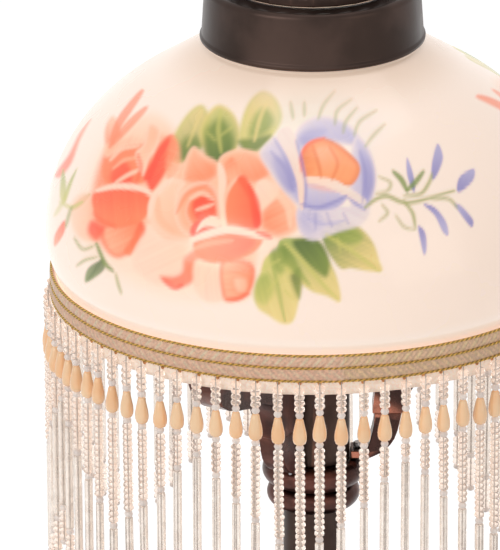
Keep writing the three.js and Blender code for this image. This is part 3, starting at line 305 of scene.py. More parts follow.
def piece_from(name, points, faces, smooth_angle=40, materials=()):
    """A mesh object at the origin from arrays of points and faces, smooth except where faces meet at more
    than smooth_angle degrees."""
    mesh = bpy.data.meshes.new(name)
    points = np.asarray(points, float)
    if isinstance(faces, np.ndarray):
        n, sides = faces.shape
        mesh.vertices.add(len(points))
        mesh.vertices.foreach_set("co", points.astype(np.float32).ravel())
        mesh.loops.add(n * sides)
        mesh.loops.foreach_set("vertex_index", faces.astype(np.int32).ravel())
        mesh.polygons.add(n)
        mesh.polygons.foreach_set("loop_start", (np.arange(n) * sides).astype(np.int32))
        mesh.update(calc_edges=True)
    else:
        mesh.from_pydata(points.tolist(), [], faces)
    mesh.validate()
    mesh.shade_smooth()
    mesh.set_sharp_from_angle(angle=math.radians(smooth_angle))
    for m in materials:
        mesh.materials.append(m)
    piece = bpy.data.objects.new(name, mesh)
    bpy.context.scene.collection.objects.link(piece)
    return piece


def spun(name, line, closed, turns, materials=(), smooth_angle=40):
    """The outline spun round Z: point (i, j) is (r_i cos t_j, r_i sin t_j, z_i). Ends on the axis are
    closed to one point each. Faces are turned outward by the outline's own direction of travel."""
    t = np.arange(turns) * 2 * math.pi / turns
    if not closed:
        r_in = line[:, 0] > 1e-6
        body = line[r_in]
    else:
        body = line
    x = body[:, 0, None] * np.cos(t)
    y = body[:, 0, None] * np.sin(t)
    z = np.broadcast_to(body[:, 1, None], x.shape)
    points = np.stack([x, y, z], axis=-1).reshape(-1, 3)
    rows = len(body)
    quads = grid_faces(rows, turns, closed, True)
    loop = np.vstack([line, line[:1]])
    area = ((loop[:-1, 0] * loop[1:, 1]) - (loop[1:, 0] * loop[:-1, 1])).sum()
    if area < 0:
        quads = quads[:, ::-1]
    faces = quads
    if not closed:
        faces = quads.tolist()
        count = len(points)
        points = np.vstack([points, [[0, 0, line[0, 1]], [0, 0, line[-1, 1]]]])
        last = (rows - 1) * turns
        for j in range(turns):
            k = (j + 1) % turns
            low, high = [count, k, j], [count + 1, last + j, last + k]
            faces.append(low if area > 0 else low[::-1])
            faces.append(high if area > 0 else high[::-1])
    return piece_from(name, points, faces, smooth_angle, materials)


print("helpers ready")

# %% [markdown]
# ## Finishes
#
# Two effects come back in most finishes. Mottle is a cloudy change of colour over a surface, with a fine
# grain under it for bump. Wear is a mask of raised edges that turn lighter: partly rubbed bright by hands,
# partly a painted highlight where an edge catches the light. Each is a node group that is built once, and
# every finish places it with its own values. Colours are written as a painter reads them, from 0 to 255,
# and `tone` turns them into the linear light that the shader wants.

# %% Colour and node helpers
def tone(r, g, b, a=1.0):
    """A 0-255 colour as linear light: ((c + 0.055) / 1.055) ** 2.4 above the dark end, c / 12.92 below
    it."""
    c = np.array([r, g, b]) / 255
    c = np.where(c > 0.04045, ((c + 0.055) / 1.055) ** 2.4, c / 12.92)
    return (*c.tolist(), a)


def effect(name, inputs, outputs):
    """A new shader node group with float or colour sockets. Returns the group and its two end nodes."""
    group = bpy.data.node_groups.new(name, "ShaderNodeTree")
    for label, value in inputs.items():
        kind = "NodeSocketColor" if hasattr(value, "__len__") else "NodeSocketFloat"
        socket = group.interface.new_socket(label, in_out="INPUT", socket_type=kind)
        socket.default_value = value
    for label, kind in outputs.items():
        group.interface.new_socket(label, in_out="OUTPUT", socket_type=kind)
    return group, group.nodes.new("NodeGroupInput"), group.nodes.new("NodeGroupOutput")


# %% The mottle group
MOTTLE, start, end = effect(
    "mottle",
    {"Scale": 60.0, "Stretch": 1.0, "First": (0, 0, 0, 1), "Second": (1, 1, 1, 1), "Low": 0.35,
     "High": 0.65},
    {"Color": "NodeSocketColor", "Mask": "NodeSocketFloat", "Grain": "NodeSocketFloat"},
)
nodes, links = MOTTLE.nodes, MOTTLE.links
where = nodes.new("ShaderNodeTexCoord")
pull = nodes.new("ShaderNodeCombineXYZ")
pull.inputs["X"].default_value = pull.inputs["Y"].default_value = 1.0
links.new(start.outputs["Stretch"], pull.inputs["Z"])
shape = nodes.new("ShaderNodeVectorMath")
shape.operation = "MULTIPLY"
links.new(where.outputs["Object"], shape.inputs[0])
links.new(pull.outputs[0], shape.inputs[1])
cloud = nodes.new("ShaderNodeTexNoise")
cloud.inputs["Detail"].default_value = 4
links.new(shape.outputs[0], cloud.inputs["Vector"])
links.new(start.outputs["Scale"], cloud.inputs["Scale"])
finer = nodes.new("ShaderNodeMath")
finer.operation = "MULTIPLY"
finer.inputs[1].default_value = 9
links.new(start.outputs["Scale"], finer.inputs[0])
grain = nodes.new("ShaderNodeTexNoise")
grain.inputs["Detail"].default_value = 3
links.new(shape.outputs[0], grain.inputs["Vector"])
links.new(finer.outputs[0], grain.inputs["Scale"])
band = nodes.new("ShaderNodeMapRange")
band.interpolation_type = "SMOOTHSTEP"
links.new(cloud.outputs["Fac"], band.inputs["Value"])
links.new(start.outputs["Low"], band.inputs["From Min"])
links.new(start.outputs["High"], band.inputs["From Max"])
blend = nodes.new("ShaderNodeMix")
blend.data_type = "RGBA"
links.new(band.outputs[0], blend.inputs["Factor"])
links.new(start.outputs["First"], blend.inputs["A"])
links.new(start.outputs["Second"], blend.inputs["B"])
links.new(blend.outputs["Result"], end.inputs["Color"])
links.new(band.outputs[0], end.inputs["Mask"])
links.new(grain.outputs["Fac"], end.inputs["Grain"])
print("mottle group:", len(nodes), "nodes")

# %% The wear and edge highlight group
WEAR_AND_HIGHLIGHT, start, end = effect("edge_wear_and_highlight", {"From": 0.52, "To": 0.6, "Amount": 0.7},
                          {"Mask": "NodeSocketFloat"})
nodes, links = WEAR_AND_HIGHLIGHT.nodes, WEAR_AND_HIGHLIGHT.links
# Raised edges turn lighter: partly wear, partly a painted highlight where an edge catches the light.
form = nodes.new("ShaderNodeNewGeometry")
ridge = nodes.new("ShaderNodeMapRange")
ridge.interpolation_type = "SMOOTHSTEP"
links.new(form.outputs["Pointiness"], ridge.inputs["Value"])
links.new(start.outputs["From"], ridge.inputs["From Min"])
links.new(start.outputs["To"], ridge.inputs["From Max"])
where = nodes.new("ShaderNodeTexCoord")
patch = nodes.new("ShaderNodeTexNoise")
patch.inputs["Scale"].default_value = 140
patch.inputs["Detail"].default_value = 4
links.new(where.outputs["Object"], patch.inputs["Vector"])
uneven = nodes.new("ShaderNodeMapRange")
uneven.inputs["From Min"].default_value, uneven.inputs["From Max"].default_value = 0.3, 0.62
links.new(patch.outputs["Fac"], uneven.inputs["Value"])
both = nodes.new("ShaderNodeMath")
both.operation = "MULTIPLY"
links.new(ridge.outputs[0], both.inputs[0])
links.new(uneven.outputs[0], both.inputs[1])
scaled = nodes.new("ShaderNodeMath")
scaled.operation = "MULTIPLY"
links.new(both.outputs[0], scaled.inputs[0])
links.new(start.outputs["Amount"], scaled.inputs[1])
links.new(scaled.outputs[0], end.inputs["Mask"])


# %% A finish from mottle and wear
def placed(material, group, **values):
    """The group as a node in the material, with its inputs set."""
    node = material.node_tree.nodes.new("ShaderNodeGroup")
    node.node_tree = group
    for label, value in values.items():
        node.inputs[label].default_value = value
    return node


def bumped(nodes, links, shader, height, strength, depth):
    """Tilts the shader's normal as if the surface rose by depth metres times the height output."""
    raised = nodes.new("ShaderNodeBump")
    raised.inputs["Strength"].default_value, raised.inputs["Distance"].default_value = strength, depth
    links.new(height, raised.inputs["Height"])
    links.new(raised.outputs["Normal"], shader.inputs["Normal"])


def times_own(nodes, links, colour, attribute):
    """The product of a colour output and the piece's own attribute."""
    own = nodes.new("ShaderNodeAttribute")
    own.attribute_name = attribute
    mix = nodes.new("ShaderNodeMix")
    mix.data_type, mix.blend_type = "RGBA", "MULTIPLY"
    mix.inputs["Factor"].default_value = 1.0
    links.new(own.outputs["Color"], mix.inputs["A"])
    links.new(colour, mix.inputs["B"])
    return mix.outputs["Result"]


def finish_of(name, dark, light, scale=60, stretch=1.0, spread=(0.35, 0.65), rough=(0.3, 0.4), bump=0.1,
              depth=0.0002, edge=None, edge_amount=0.7, edge_from=0.52, edge_to=0.6, **sockets):
    """A Principled finish whose colour is mottled from dark to light, whose roughness runs from rough[0]
    to rough[1] with the same mask, whose grain is a bump, and whose raised edges turn to the edge
    colour."""
    m, nodes, links, shader = fresh(name, **sockets)
    cloud = placed(m, MOTTLE, Scale=scale, Stretch=stretch, First=dark, Second=light, Low=spread[0],
                   High=spread[1])
    colour = cloud.outputs["Color"]
    if edge is not None:
        wear_and_highlight = placed(m, WEAR_AND_HIGHLIGHT, Amount=edge_amount, From=edge_from, To=edge_to)
        mix = nodes.new("ShaderNodeMix")
        mix.data_type = "RGBA"
        links.new(wear_and_highlight.outputs["Mask"], mix.inputs["Factor"])
        links.new(colour, mix.inputs["A"])
        mix.inputs["B"].default_value = edge
        colour = mix.outputs["Result"]
    links.new(colour, shader.inputs["Base Color"])
    links.new(ranged(nodes, links, cloud.outputs["Mask"], *rough), shader.inputs["Roughness"])
    bumped(nodes, links, shader, cloud.outputs["Grain"], bump, depth)
    return m


# %% The metals
BRONZE = finish_of("brown_bronze_patina", tone(58, 45, 40), tone(78, 62, 56), scale=45, rough=(0.34, 0.5),
                   edge=tone(150, 105, 88), edge_amount=0.55, bump=0.18, Metallic=0.9)
# The cast pieces get bright red-pink edges: partly red wear, partly a painted highlight of the flame's
# light on bronze.
BRONZE_CAST = finish_of("cast_bronze_red_wear_and_highlight", tone(62, 45, 42), tone(104, 66, 58), scale=38,
                        spread=(0.42, 0.68), rough=(0.26, 0.42), edge=tone(198, 128, 106), edge_amount=0.85,
                        bump=0.35, depth=0.0004, Metallic=0.92)
BRASS = finish_of("aged_burner_brass", tone(150, 116, 62), tone(186, 150, 88), scale=50, rough=(0.24, 0.4),
                  edge=tone(216, 186, 126), bump=0.12, Metallic=1.0)
STEEL = finish_of("plated_steel", tone(140, 140, 142), tone(172, 172, 174), scale=80, rough=(0.22, 0.36),
                  edge=tone(205, 205, 208), bump=0.1, Metallic=1.0)
IRON = finish_of("cast_iron_weight", tone(42, 42, 44), tone(66, 62, 60), scale=70, rough=(0.6, 0.8),
                 bump=0.6, depth=0.0006, Metallic=0.6)
FELT = finish_of("green_felt", tone(46, 66, 50), tone(64, 86, 66), scale=160, rough=(0.9, 1.0), bump=0.9,
                 depth=0.0008)
CORK = finish_of("cork", tone(166, 124, 82), tone(198, 160, 114), scale=220, rough=(0.8, 0.95), bump=0.7,
                 depth=0.0005)
print("finishes:", [m.name for m in bpy.data.materials])

# %% [markdown]
# ## The painted opal shade
#
# The shade is blown opal glass, a dome with a low shoulder and a short neck, and the flowers on it are
# soft enamel paint fired into the surface. The paint has no thickness of its own, so it is a colour on
# the glass. It is worked out stroke by stroke: the painter's bouquet is laid out flat, as on a tracing
# sheet held before the lamp, and each point of the glass looks up its own place on that sheet. A petal is
# a closed smooth curve with a soft edge, a colour that changes along it and a deeper or paler line at its
# rim. The grid of the glass is finest where the flowers are.
#
# A flame behind opal glass lights all of it evenly, so the glass gives off a little of its own colour.

# %% The outline of the glass
RIM = 255 * MM
loop, closed = outline_of("glass_shade", 30)
loop = refined(loop, closed, steps=6, round_by=0.8 * MM)
side = np.vstack([loop, loop[:1]])
if (side[:-1, 0] * side[1:, 1] - side[1:, 0] * side[:-1, 1]).sum() < 0:
    loop = loop[::-1]
low = int(np.argmin(loop[:, 1] * 1000 - loop[:, 0]))
loop = np.roll(loop, -low, axis=0)
top = int(np.argmax(loop[:, 1] * 1000 + loop[:, 0]))
outer_line, inner_line = loop[: top + 1], np.vstack([loop[top:], loop[:1]])


def paced(line, weights):
    """The line with new points whose gaps follow weights, by arc length."""
    gaps = np.hypot(*np.diff(line, axis=0).T)
    run = np.concatenate([[0], np.cumsum(gaps)])
    steps = np.concatenate([[0], np.cumsum(weights)])
    at = steps / steps[-1] * run[-1]
    return np.column_stack([np.interp(at, run, line[:, 0]), np.interp(at, run, line[:, 1])])


outer_rows = paced(outer_line, np.r_[np.full(4, 2.2), np.full(122, 1.0), np.full(4, 3.5)])
inner_rows = paced(inner_line, np.ones(8))[1:-1]
glass_line = np.vstack([outer_rows, inner_rows])
print("glass outline:", len(outer_rows), "outer and", len(inner_rows), "inner rows")

# %% The grid of the glass
FRONT, REPEAT = (-94, 54), 147.0
turns = np.concatenate([
    np.linspace(FRONT[0], FRONT[1], 412, endpoint=False),
    np.linspace(FRONT[1], 201, 240, endpoint=False),
    np.linspace(201, 266, 52, endpoint=False),
])
angle = np.radians(turns)[None, :]
r, z = glass_line[:, 0, None], glass_line[:, 1, None]
glass_points = np.stack([r * np.sin(angle), -r * np.cos(angle), z + 0 * angle], axis=-1).reshape(-1, 3)
glass_faces = grid_faces(len(glass_line), len(turns), True, True)
print("glass grid:", len(glass_line), "x", len(turns), "=", 2 * len(glass_faces), "triangles")


# %% The tracing sheet
SHEET_SCALE, SHEET_LEFT, SHEET_LOW = 0.9425, 23.6, 0.4
NOWHERE = 1e4


def sheet_place(points, turned=0.0):
    """Where points of the glass, in metres, lie on the tracing sheet, in millimetres. The sheet is held
    square to the line of sight, at the distance of the aim point. In words: with v the way from the eye
    to the point and d its depth along the line of sight, across = SHEET_SCALE (v . right) D / d -
    SHEET_LEFT and up = SHEET_SCALE (v . up) D / d - SHEET_LOW, where D is the distance of the sheet. The
    far side lies nowhere."""
    k = math.radians(turned)
    x = points[:, 0] * math.cos(k) + points[:, 1] * math.sin(k)
    y = points[:, 1] * math.cos(k) - points[:, 0] * math.sin(k)
    ways = np.c_[x, y, points[:, 2]] - (LOOK_AT + VIEW_DISTANCE * back)
    depth = -ways @ back
    across = SHEET_SCALE * ways @ right * VIEW_DISTANCE / depth / MM - SHEET_LEFT
    rise = SHEET_SCALE * ways @ up * VIEW_DISTANCE / depth / MM - SHEET_LOW
    seen = y < -0.02 * np.hypot(x, y)
    return np.where(seen, across, NOWHERE), np.where(seen, rise, NOWHERE)


def curve_through(points, closed, steps=7):
    """A smooth line through points: between p1 and p2 it is the Catmull-Rom cubic of p0, p1, p2, p3."""
    p = np.asarray(points, float)
    if closed:
        p = np.vstack([p[-1], p, p[:2]])
    else:
        p = np.vstack([2 * p[0] - p[1], p, 2 * p[-1] - p[-2]])
    s = np.linspace(0, 1, steps, endpoint=False)[None, :, None]
    a, b, c, d = p[:-3, None], p[1:-2, None], p[2:-1, None], p[3:, None]
    line = 0.5 * (2 * b + (c - a) * s + (2 * a - 5 * b + 4 * c - d) * s**2 + (3 * b - a - 3 * c + d) * s**3)
    line = line.reshape(-1, 2)
    return line if closed else np.vstack([line, p[-2]])


def distance_to(line, closed, u, v):
    """Distance from (u, v) to a line, how far along it the nearest point lies from 0 to 1, and, for a
    closed line, a distance that is positive inside. A point is inside if a ray from it crosses the line
    an odd number of times."""
    a = line
    b = np.roll(line, -1, axis=0) if closed else line[1:]
    a = a if closed else line[:-1]
    d = b - a
    uu, vv = u[:, None] - a[:, 0], v[:, None] - a[:, 1]
    s = np.clip((uu * d[:, 0] + vv * d[:, 1]) / np.maximum((d**2).sum(1), 1e-9), 0, 1)
    away = np.hypot(uu - s * d[:, 0], vv - s * d[:, 1])
    k = away.argmin(axis=1)
    near = away[np.arange(len(u)), k]
    along = (k + s[np.arange(len(u)), k]) / len(d)
    if closed:
        span = (a[:, 1] > v[:, None]) != (b[:, 1] > v[:, None])
        cross = a[:, 0] + (v[:, None] - a[:, 1]) / np.where(d[:, 1] == 0, 1e-9, d[:, 1]) * d[:, 0]
        inside = (span & (u[:, None] < cross)).sum(axis=1) % 2 == 1
        near = np.where(inside, near, -near)
    return near, along


def soft_step(x, low, high):
    """0 below low, 1 above high, and 3 s^2 - 2 s^3 between."""
    s = np.clip((x - low) / (high - low), 0, 1)
    return s * s * (3 - 2 * s)


rim_front = sheet_place(np.array([[0, -0.1, 0.255]]))
print("a sheet point at the front of the rim:", np.round(rim_front, 1).tolist())

# %% [markdown]
# ## The flowers
#
# The colours are few: coral and deep coral, pale peach, cream, two blues and three greens. Each petal
# names its colour, the colour that it turns into, and the way it turns. The order is the painter's own:
# what lies behind goes on first, petals follow from the outside in, and thin lines come last.

# %% The painter's colours
PAINT = {
    "glass": tone(254, 232, 216), "haze": tone(255, 216, 186), "peach": tone(255, 184, 146),
    "pale": tone(255, 210, 180), "cream": tone(252, 214, 190), "coral": tone(255, 130, 84),
    "deep": tone(255, 98, 60), "red": tone(250, 72, 48), "fold": tone(240, 218, 206),
    "orange": tone(255, 156, 98),
    "amber": tone(226, 120, 64), "lilac": tone(214, 200, 214), "blue": tone(174, 167, 206),
    "violet": tone(138, 131, 188), "mist": tone(236, 218, 212), "green": tone(158, 170, 76),
    "leaf": tone(118, 138, 48), "dark": tone(74, 98, 34), "lime": tone(204, 196, 104),
    "tip": tone(236, 208, 130), "olive": tone(166, 166, 98), "grey": tone(214, 210, 186),
}
PAINT = {name: np.array(colour[:3]) for name, colour in PAINT.items()}

# %% Petals
# Each row: outline, colour, second colour, way it turns in degrees, rim colour, rim width, softness and
# strength.
PETALS = [
    # warm haze behind the two red roses
    ([(-84, 12), (-80, 38), (-66, 54), (-46, 48), (-20, 44), (-6, 28), (-10, 6), (-30, -8), (-60, -6)],
     "haze", "haze", 0, None, 0, 10, 0.6),
    ([(-74, 44), (-70, 54), (-58, 58), (-50, 50), (-54, 42)], "haze", "peach", -90, None, 0, 6, 0.7),
    # the bodies of the two red roses, so that no glass shows between petals
    ([(-60, 20), (-52, 33), (-47, 42), (-40, 44), (-34, 41), (-27, 45), (-19, 43), (-15, 34), (-8, 26),
     (-7, 16), (-19, 13), (-22, 3), (-24, -8), (-34, -9), (-44, -2), (-50, 8)], "peach", "peach", 0, None,
     0, 4, 0.85),
    ([(-81, 25), (-76, 44), (-66, 49), (-54, 50), (-50, 42), (-58, 28), (-61, 17), (-70, 6), (-79, 13)],
     "coral", "peach", 0, None, 0, 4, 0.8),
    # leaves behind the big rose: yellow at the tip, dark at the root
    ([(-52, 42), (-51, 50), (-46, 58), (-41, 61), (-38, 56), (-39, 48), (-44, 43), (-49, 40)], "tip",
     "leaf", -70, "lime", 1.4, 2.2, 0.9),
    ([(-50, 42), (-48, 48), (-44, 50), (-41, 46), (-45, 41)], "leaf", "dark", -80, None, 0, 3.5, 0.75),
    ([(-40, 44), (-42, 52), (-38, 59), (-34, 61), (-29, 57), (-27, 49), (-31, 41), (-37, 39)], "lime",
     "leaf", -70, "tip", 1.6, 2.2, 0.92),
    ([(-40, 44), (-39, 52), (-34, 56), (-30, 50), (-30, 44), (-36, 39)], "leaf", "dark", -90, None, 0,
     3.6, 0.85),
    ([(-27, 47), (-27, 54), (-24, 62), (-19, 66), (-14, 63), (-12, 56), (-16, 49), (-22, 44)], "tip",
     "lime", -70, "lime", 1.4, 2.2, 0.92),
    ([(-24, 50), (-22, 57), (-18, 60), (-15, 55), (-19, 50)], "green", "leaf", -60, None, 0, 3.4, 0.8),
    ([(-28, 48), (-22, 49), (-16, 50), (-20, 45), (-25, 44)], "leaf", "dark", -60, None, 0, 2.6, 0.85),
    # leaves under the blue rose
    ([(2, 15), (7, 18), (11, 19), (17, 16), (21, 11), (23, 5), (24, 1), (19, 1), (13, 2), (9, 2), (5, 7),
     (3, 11)], "leaf", "tip", -30, None, 0, 1.6, 0.95),
    ([(3, 14), (7, 17), (12, 18), (17, 14), (15, 11), (8, 11)], "leaf", "green", -20, None, 0, 2.6, 0.8),
    ([(-13, 12), (-7, 13), (1, 12), (5, 5), (8, -2), (9, -10), (4, -8), (-2, -6), (-8, -1), (-13, 5)],
     "green", "tip", -60, None, 0, 1.6, 0.95),
    ([(-18, 6), (-20, 0), (-22, -6), (-21, -12), (-17, -15), (-12, -18), (-8, -17), (-6, -10), (-5, -3),
     (-7, 3), (-13, 8)], "lime", "tip", -75, None, 0, 1.8, 0.95),
    ([(-21, -2), (-22, -9), (-18, -11), (-15, -6), (-17, 0)], "green", "lime", -80, None, 0, 3.4, 0.85),
    ([(-16, 8), (-15, 2), (-12, 0), (-10, 6), (-12, 10)], "leaf", "green", -80, None, 0, 2.6, 0.8),
    ([(-9, -1), (-6, -9), (-5, -3), (-6, 2)], "dark", "leaf", -80, None, 0, 2.4, 0.8),
    ([(-8, 12), (1, 12), (5, 5), (4, -1), (0, 1), (-5, 6)], "dark", "leaf", -60, None, 0, 2.4, 0.92),
    ([(-12, 10), (-9, 9), (-5, 1), (-2, -4), (-6, -1), (-11, 4)], "leaf", "green", -60, None, 0, 2.2,
     0.8),
    # coral sprays over the far left rose
    ([(-75, 45), (-76, 52), (-73, 57), (-70, 51), (-71, 46)], "coral", "peach", 90, None, 0, 1.8, 0.8),
    ([(-94, 36), (-89, 43), (-85, 51), (-81, 56), (-85, 48), (-88, 40), (-92, 35)], "deep", "coral", 60,
     None, 0, 1.8, 0.85),
    # sprigs low on the left
    ([(-83, -3), (-82, 2), (-77, 5), (-76, 2), (-79, -1)], "leaf", "dark", 60, None, 0, 1.4, 0.85),
    ([(-92, 27), (-92, 33), (-91, 38), (-90, 33), (-90, 27)], "lime", "green", 90, None, 0, 1.2, 0.8),
    ([(-91, 27), (-89, 33), (-86, 38), (-88, 32), (-90, 26)], "lime", "green", 90, None, 0, 1.2, 0.8),
    ([(-88, 24), (-85, 27), (-81, 29), (-84, 25), (-87, 23)], "leaf", "olive", 30, None, 0, 1.0, 0.9),
    ([(-91, 19), (-94, 14), (-94, 10), (-91, 14), (-90, 18)], "deep", "coral", -90, None, 0, 1.2, 0.85),
    # left rose, from the back forward
    ([(-88, 25), (-84, 29), (-80, 27), (-80, 18), (-79, 12), (-85, 13), (-88, 18)], "pale", "peach", 0,
     None, 0, 3, 0.8),
    ([(-77, 38), (-74, 46), (-66, 49), (-60, 46), (-60, 36), (-66, 31), (-75, 32)], "coral", "coral", 0,
     None, 0, 2.4, 0.9),
    ([(-76, 46), (-69, 50), (-62, 52), (-62, 47), (-69, 46), (-75, 42)], "peach", "pale", 60, "pale", 1.2,
     2, 0.85),
    ([(-74, 34), (-72, 40), (-68, 40), (-66, 34), (-70, 31)], "deep", "red", -40, None, 0, 3, 0.9),
    ([(-62, 35), (-65, 43), (-62, 47), (-60, 54), (-56, 52), (-57, 46), (-60, 41)], "pale", "peach", 90,
     "cream", 1.0, 1.6, 0.9),
    ([(-61, 33), (-62, 35), (-59, 41), (-56, 47), (-52, 50), (-50, 44), (-55, 35), (-59, 30)], "red",
     "deep", 20, None, 0, 2.0, 0.92),
    ([(-52, 50), (-49, 46), (-49, 38), (-53, 34), (-54, 40)], "coral", "peach", -30, None, 0, 2.6, 0.8),
    ([(-77, 17), (-70, 18), (-63, 19), (-64, 12), (-67, 8), (-72, 6), (-76, 10)], "coral", "peach", 200,
     "deep", 1.2, 2.2, 0.9),
    ([(-63, 19), (-61, 14), (-66, 7), (-69, 8), (-66, 13)], "deep", "coral", -90, None, 0, 2.0, 0.85),
    ([(-80, 29), (-73, 31), (-65, 31), (-60, 28), (-60, 23), (-63, 19), (-70, 17), (-77, 18), (-80, 23)],
     "deep", "coral", -90, None, 0, 1.6, 0.92),
    ([(-81, 19), (-78, 18), (-76, 16), (-79, 12), (-82, 15)], "red", "deep", -60, None, 0, 2.6, 0.85),
    # big rose, from the back forward
    ([(-48, 33), (-47, 41), (-44, 46), (-40, 43), (-35, 40), (-35, 35), (-40, 32)], "peach", "coral", -60,
     "pale", 1.6, 1.6, 0.95),
    ([(-35, 41), (-28, 45), (-20, 43), (-16, 36), (-22, 32), (-28, 34), (-33, 30)], "peach", "coral", -70,
     "pale", 1.4, 1.6, 0.95),
    ([(-33, 39), (-30, 42), (-28, 38), (-30, 34), (-33, 35)], "coral", "peach", -90, None, 0, 2.0, 0.7),
    ([(-20, 23), (-14, 29), (-9, 27), (-6, 20), (-8, 15), (-14, 13), (-20, 16)], "coral", "peach", 20,
     "pale", 1.8, 2.0, 0.95),
    ([(-21, 33), (-17, 34), (-13, 30), (-18, 24), (-21, 23), (-22, 28)], "cream", "pale", -60, None, 0,
     1.8, 0.95),
    ([(-32, 18), (-32, 27), (-29, 33), (-26, 35), (-22, 28), (-20, 18), (-26, 15)], "coral", "deep", 0,
     None, 0, 1.5, 0.95),
    ([(-28, 34), (-25, 35), (-22, 28), (-20, 18), (-22, 17), (-24, 27)], "deep", "red", -80, None, 0, 2.0,
     0.85),
    ([(-66, 4), (-60, 17), (-56, 13), (-45, 12), (-43, 8), (-47, 2), (-52, -4), (-59, -3)], "pale",
     "cream", 200, "cream", 2.4, 2.6, 0.92),
    ([(-60, 26), (-59, 18), (-53, 13), (-46, 12), (-43, 15), (-48, 23), (-49, 29), (-47, 33), (-53, 34)],
     "pale", "peach", -40, "cream", 1.8, 1.8, 0.95),
    ([(-41, 10), (-36, 9), (-40, 5), (-42, 0), (-46, -4), (-51, -5), (-56, -1), (-51, -1), (-48, 1),
     (-47, 6)], "coral", "deep", -120, None, 0, 2.6, 0.8),
    ([(-43, 5), (-34, 4), (-33, -5), (-35, -10), (-41, -9), (-44, -3)], "pale", "cream", -90, None, 0,
     2.4, 0.95),
    ([(-34, 4), (-26, 5), (-22, 2), (-23, -5), (-27, -9), (-33, -9)], "coral", "peach", 180, "deep", 1.2,
     2.0, 0.92),
    ([(-29, -2), (-25, -2), (-25, -6), (-28, -6)], "pale", "peach", 0, None, 0, 2.4, 0.8),
    # the heart of the big rose
    ([(-51, 22), (-49, 29), (-43, 33), (-37, 32), (-34, 25), (-34, 17), (-41, 13), (-48, 15)], "peach",
     "coral", 10, "cream", 1.5, 1.4, 0.95),
    ([(-47, 22), (-45, 28), (-40, 30), (-36, 26), (-35, 20), (-39, 17), (-44, 17)], "coral", "deep", 10,
     "pale", 1.0, 1.6, 0.9),
    ([(-44, 26), (-38, 28), (-36, 23), (-38, 19), (-43, 20)], "red", "deep", -40, None, 0, 2.0, 0.9),
    ([(-45, 14), (-43, 19), (-36, 18), (-33, 15), (-38, 13)], "red", "deep", 0, None, 0, 1.6, 0.9),
    ([(-43, 15), (-41, 19), (-37, 21), (-34, 19), (-35, 17), (-40, 17)], "cream", "pale", 0, None, 0, 1.2,
     0.95),
    ([(-35, 40), (-33, 38), (-32, 33), (-33, 27), (-32, 17), (-34, 18), (-35, 27), (-35, 33)], "cream",
     "pale", -90, None, 0, 1.3, 0.95),
    ([(-44, 11), (-39, 14), (-31, 15), (-24, 15), (-19, 13), (-22, 8), (-29, 5), (-37, 4), (-42, 6)],
     "coral", "coral", 10, None, 0, 1.6, 0.95),
    ([(-38, 12), (-30, 14), (-22, 12), (-26, 7), (-33, 5), (-38, 7)], "coral", "deep", 20, None, 0, 3.0,
     0.8),
    # blue rose, from the back forward
    ([(-14, 54), (-9, 64), (4, 66), (17, 61), (25, 52), (20, 44), (8, 52), (-4, 52)], "grey", "mist", 0,
     None, 0, 9, 0.4),
    ([(-20, 44), (-12, 50), (-5, 42), (-3, 24), (-9, 27), (-16, 36)], "lilac", "blue", -40, "mist", 1.6,
     1.8, 0.92),
    ([(-15, 42), (-9, 40), (-6, 32), (-10, 30), (-14, 36)], "blue", "violet", -60, None, 0, 3.4, 0.6),
    ([(-8, 44), (-6, 53), (2, 57), (12, 54), (17, 46), (5, 47)], "lilac", "blue", -60, "mist", 1.4, 1.8,
     0.92),
    ([(14, 49), (19, 46), (22, 36), (20, 25), (14, 20), (12, 34)], "lilac", "blue", 0, "mist", 1.3, 1.8,
     0.92),
    ([(16, 45), (20, 40), (21, 32), (18, 26), (17, 34)], "blue", "violet", -80, None, 0, 2.8, 0.7),
    ([(-6, 49), (-2, 52), (4, 52), (1, 47), (-4, 46)], "violet", "blue", 0, None, 0, 3.4, 0.6),
    ([(-6, 24), (5, 24), (19, 24), (17, 18), (8, 15), (-1, 12), (-6, 16)], "lilac", "mist", -30, None, 0,
     1.8, 0.92),
    ([(-5, 22), (1, 22), (3, 17), (-2, 14), (-5, 17)], "blue", "lilac", -50, None, 0, 3.0, 0.7),
    ([(-6, 38), (-4, 46), (2, 49), (9, 46), (16, 39), (13, 32), (5, 33), (-4, 34)], "orange", "orange",
     60, "amber", 1.4, 1.4, 0.97),
    ([(-5, 36), (-5, 43), (-1, 47), (1, 42), (-1, 36)], "amber", "orange", 0, None, 0, 2.6, 0.7),
    ([(0, 44), (4, 46), (8, 43), (9, 37), (4, 36)], "peach", "orange", -60, None, 0, 2.6, 0.7),
    ([(-5, 33), (3, 32), (11, 28), (8, 24), (1, 23), (-5, 25)], "lilac", "blue", -90, None, 0, 1.6, 0.92),
    ([(-3, 32), (3, 32), (8, 30), (3, 30)], "orange", "peach", 0, None, 0, 2.6, 0.5),
    ([(-4, 35), (1, 35), (7, 34), (12, 31), (18, 27), (17, 25), (11, 28), (7, 30), (2, 32), (-4, 33)],
     "cream", "fold", -20, None, 0, 1.1, 0.97),
    ([(-14, 50), (-10, 53), (-7, 49), (-6, 42), (-4, 34), (-4, 26), (-5, 23), (-6, 27), (-7, 34),
     (-10, 42)], "fold", "cream", -60, None, 0, 1.2, 0.95),
    # bud sprig on the right
    ([(35, 30), (33, 36), (33, 42), (35, 37), (36, 31)], "violet", "blue", 90, None, 0, 1.1, 0.92),
    ([(42, 34), (42, 40), (44, 47), (46, 42), (44, 36)], "blue", "violet", -90, None, 0, 1.1, 0.92),
    ([(51, 30), (52, 35), (57, 38), (57, 34), (53, 30)], "violet", "blue", 60, None, 0, 1.1, 0.92),
    ([(39, 25), (43, 21), (46, 15), (48, 14), (47, 19), (43, 24)], "violet", "blue", -60, None, 0, 1.1,
     0.92),
    ([(50, 25), (52, 22), (56, 17), (57, 19), (55, 22), (52, 25)], "blue", "violet", -40, None, 0, 1.1,
     0.92),
    ([(37, 17), (38, 11), (39, 7), (40, 8), (40, 13), (39, 16)], "violet", "blue", -90, None, 0, 1.1,
     0.92),
]

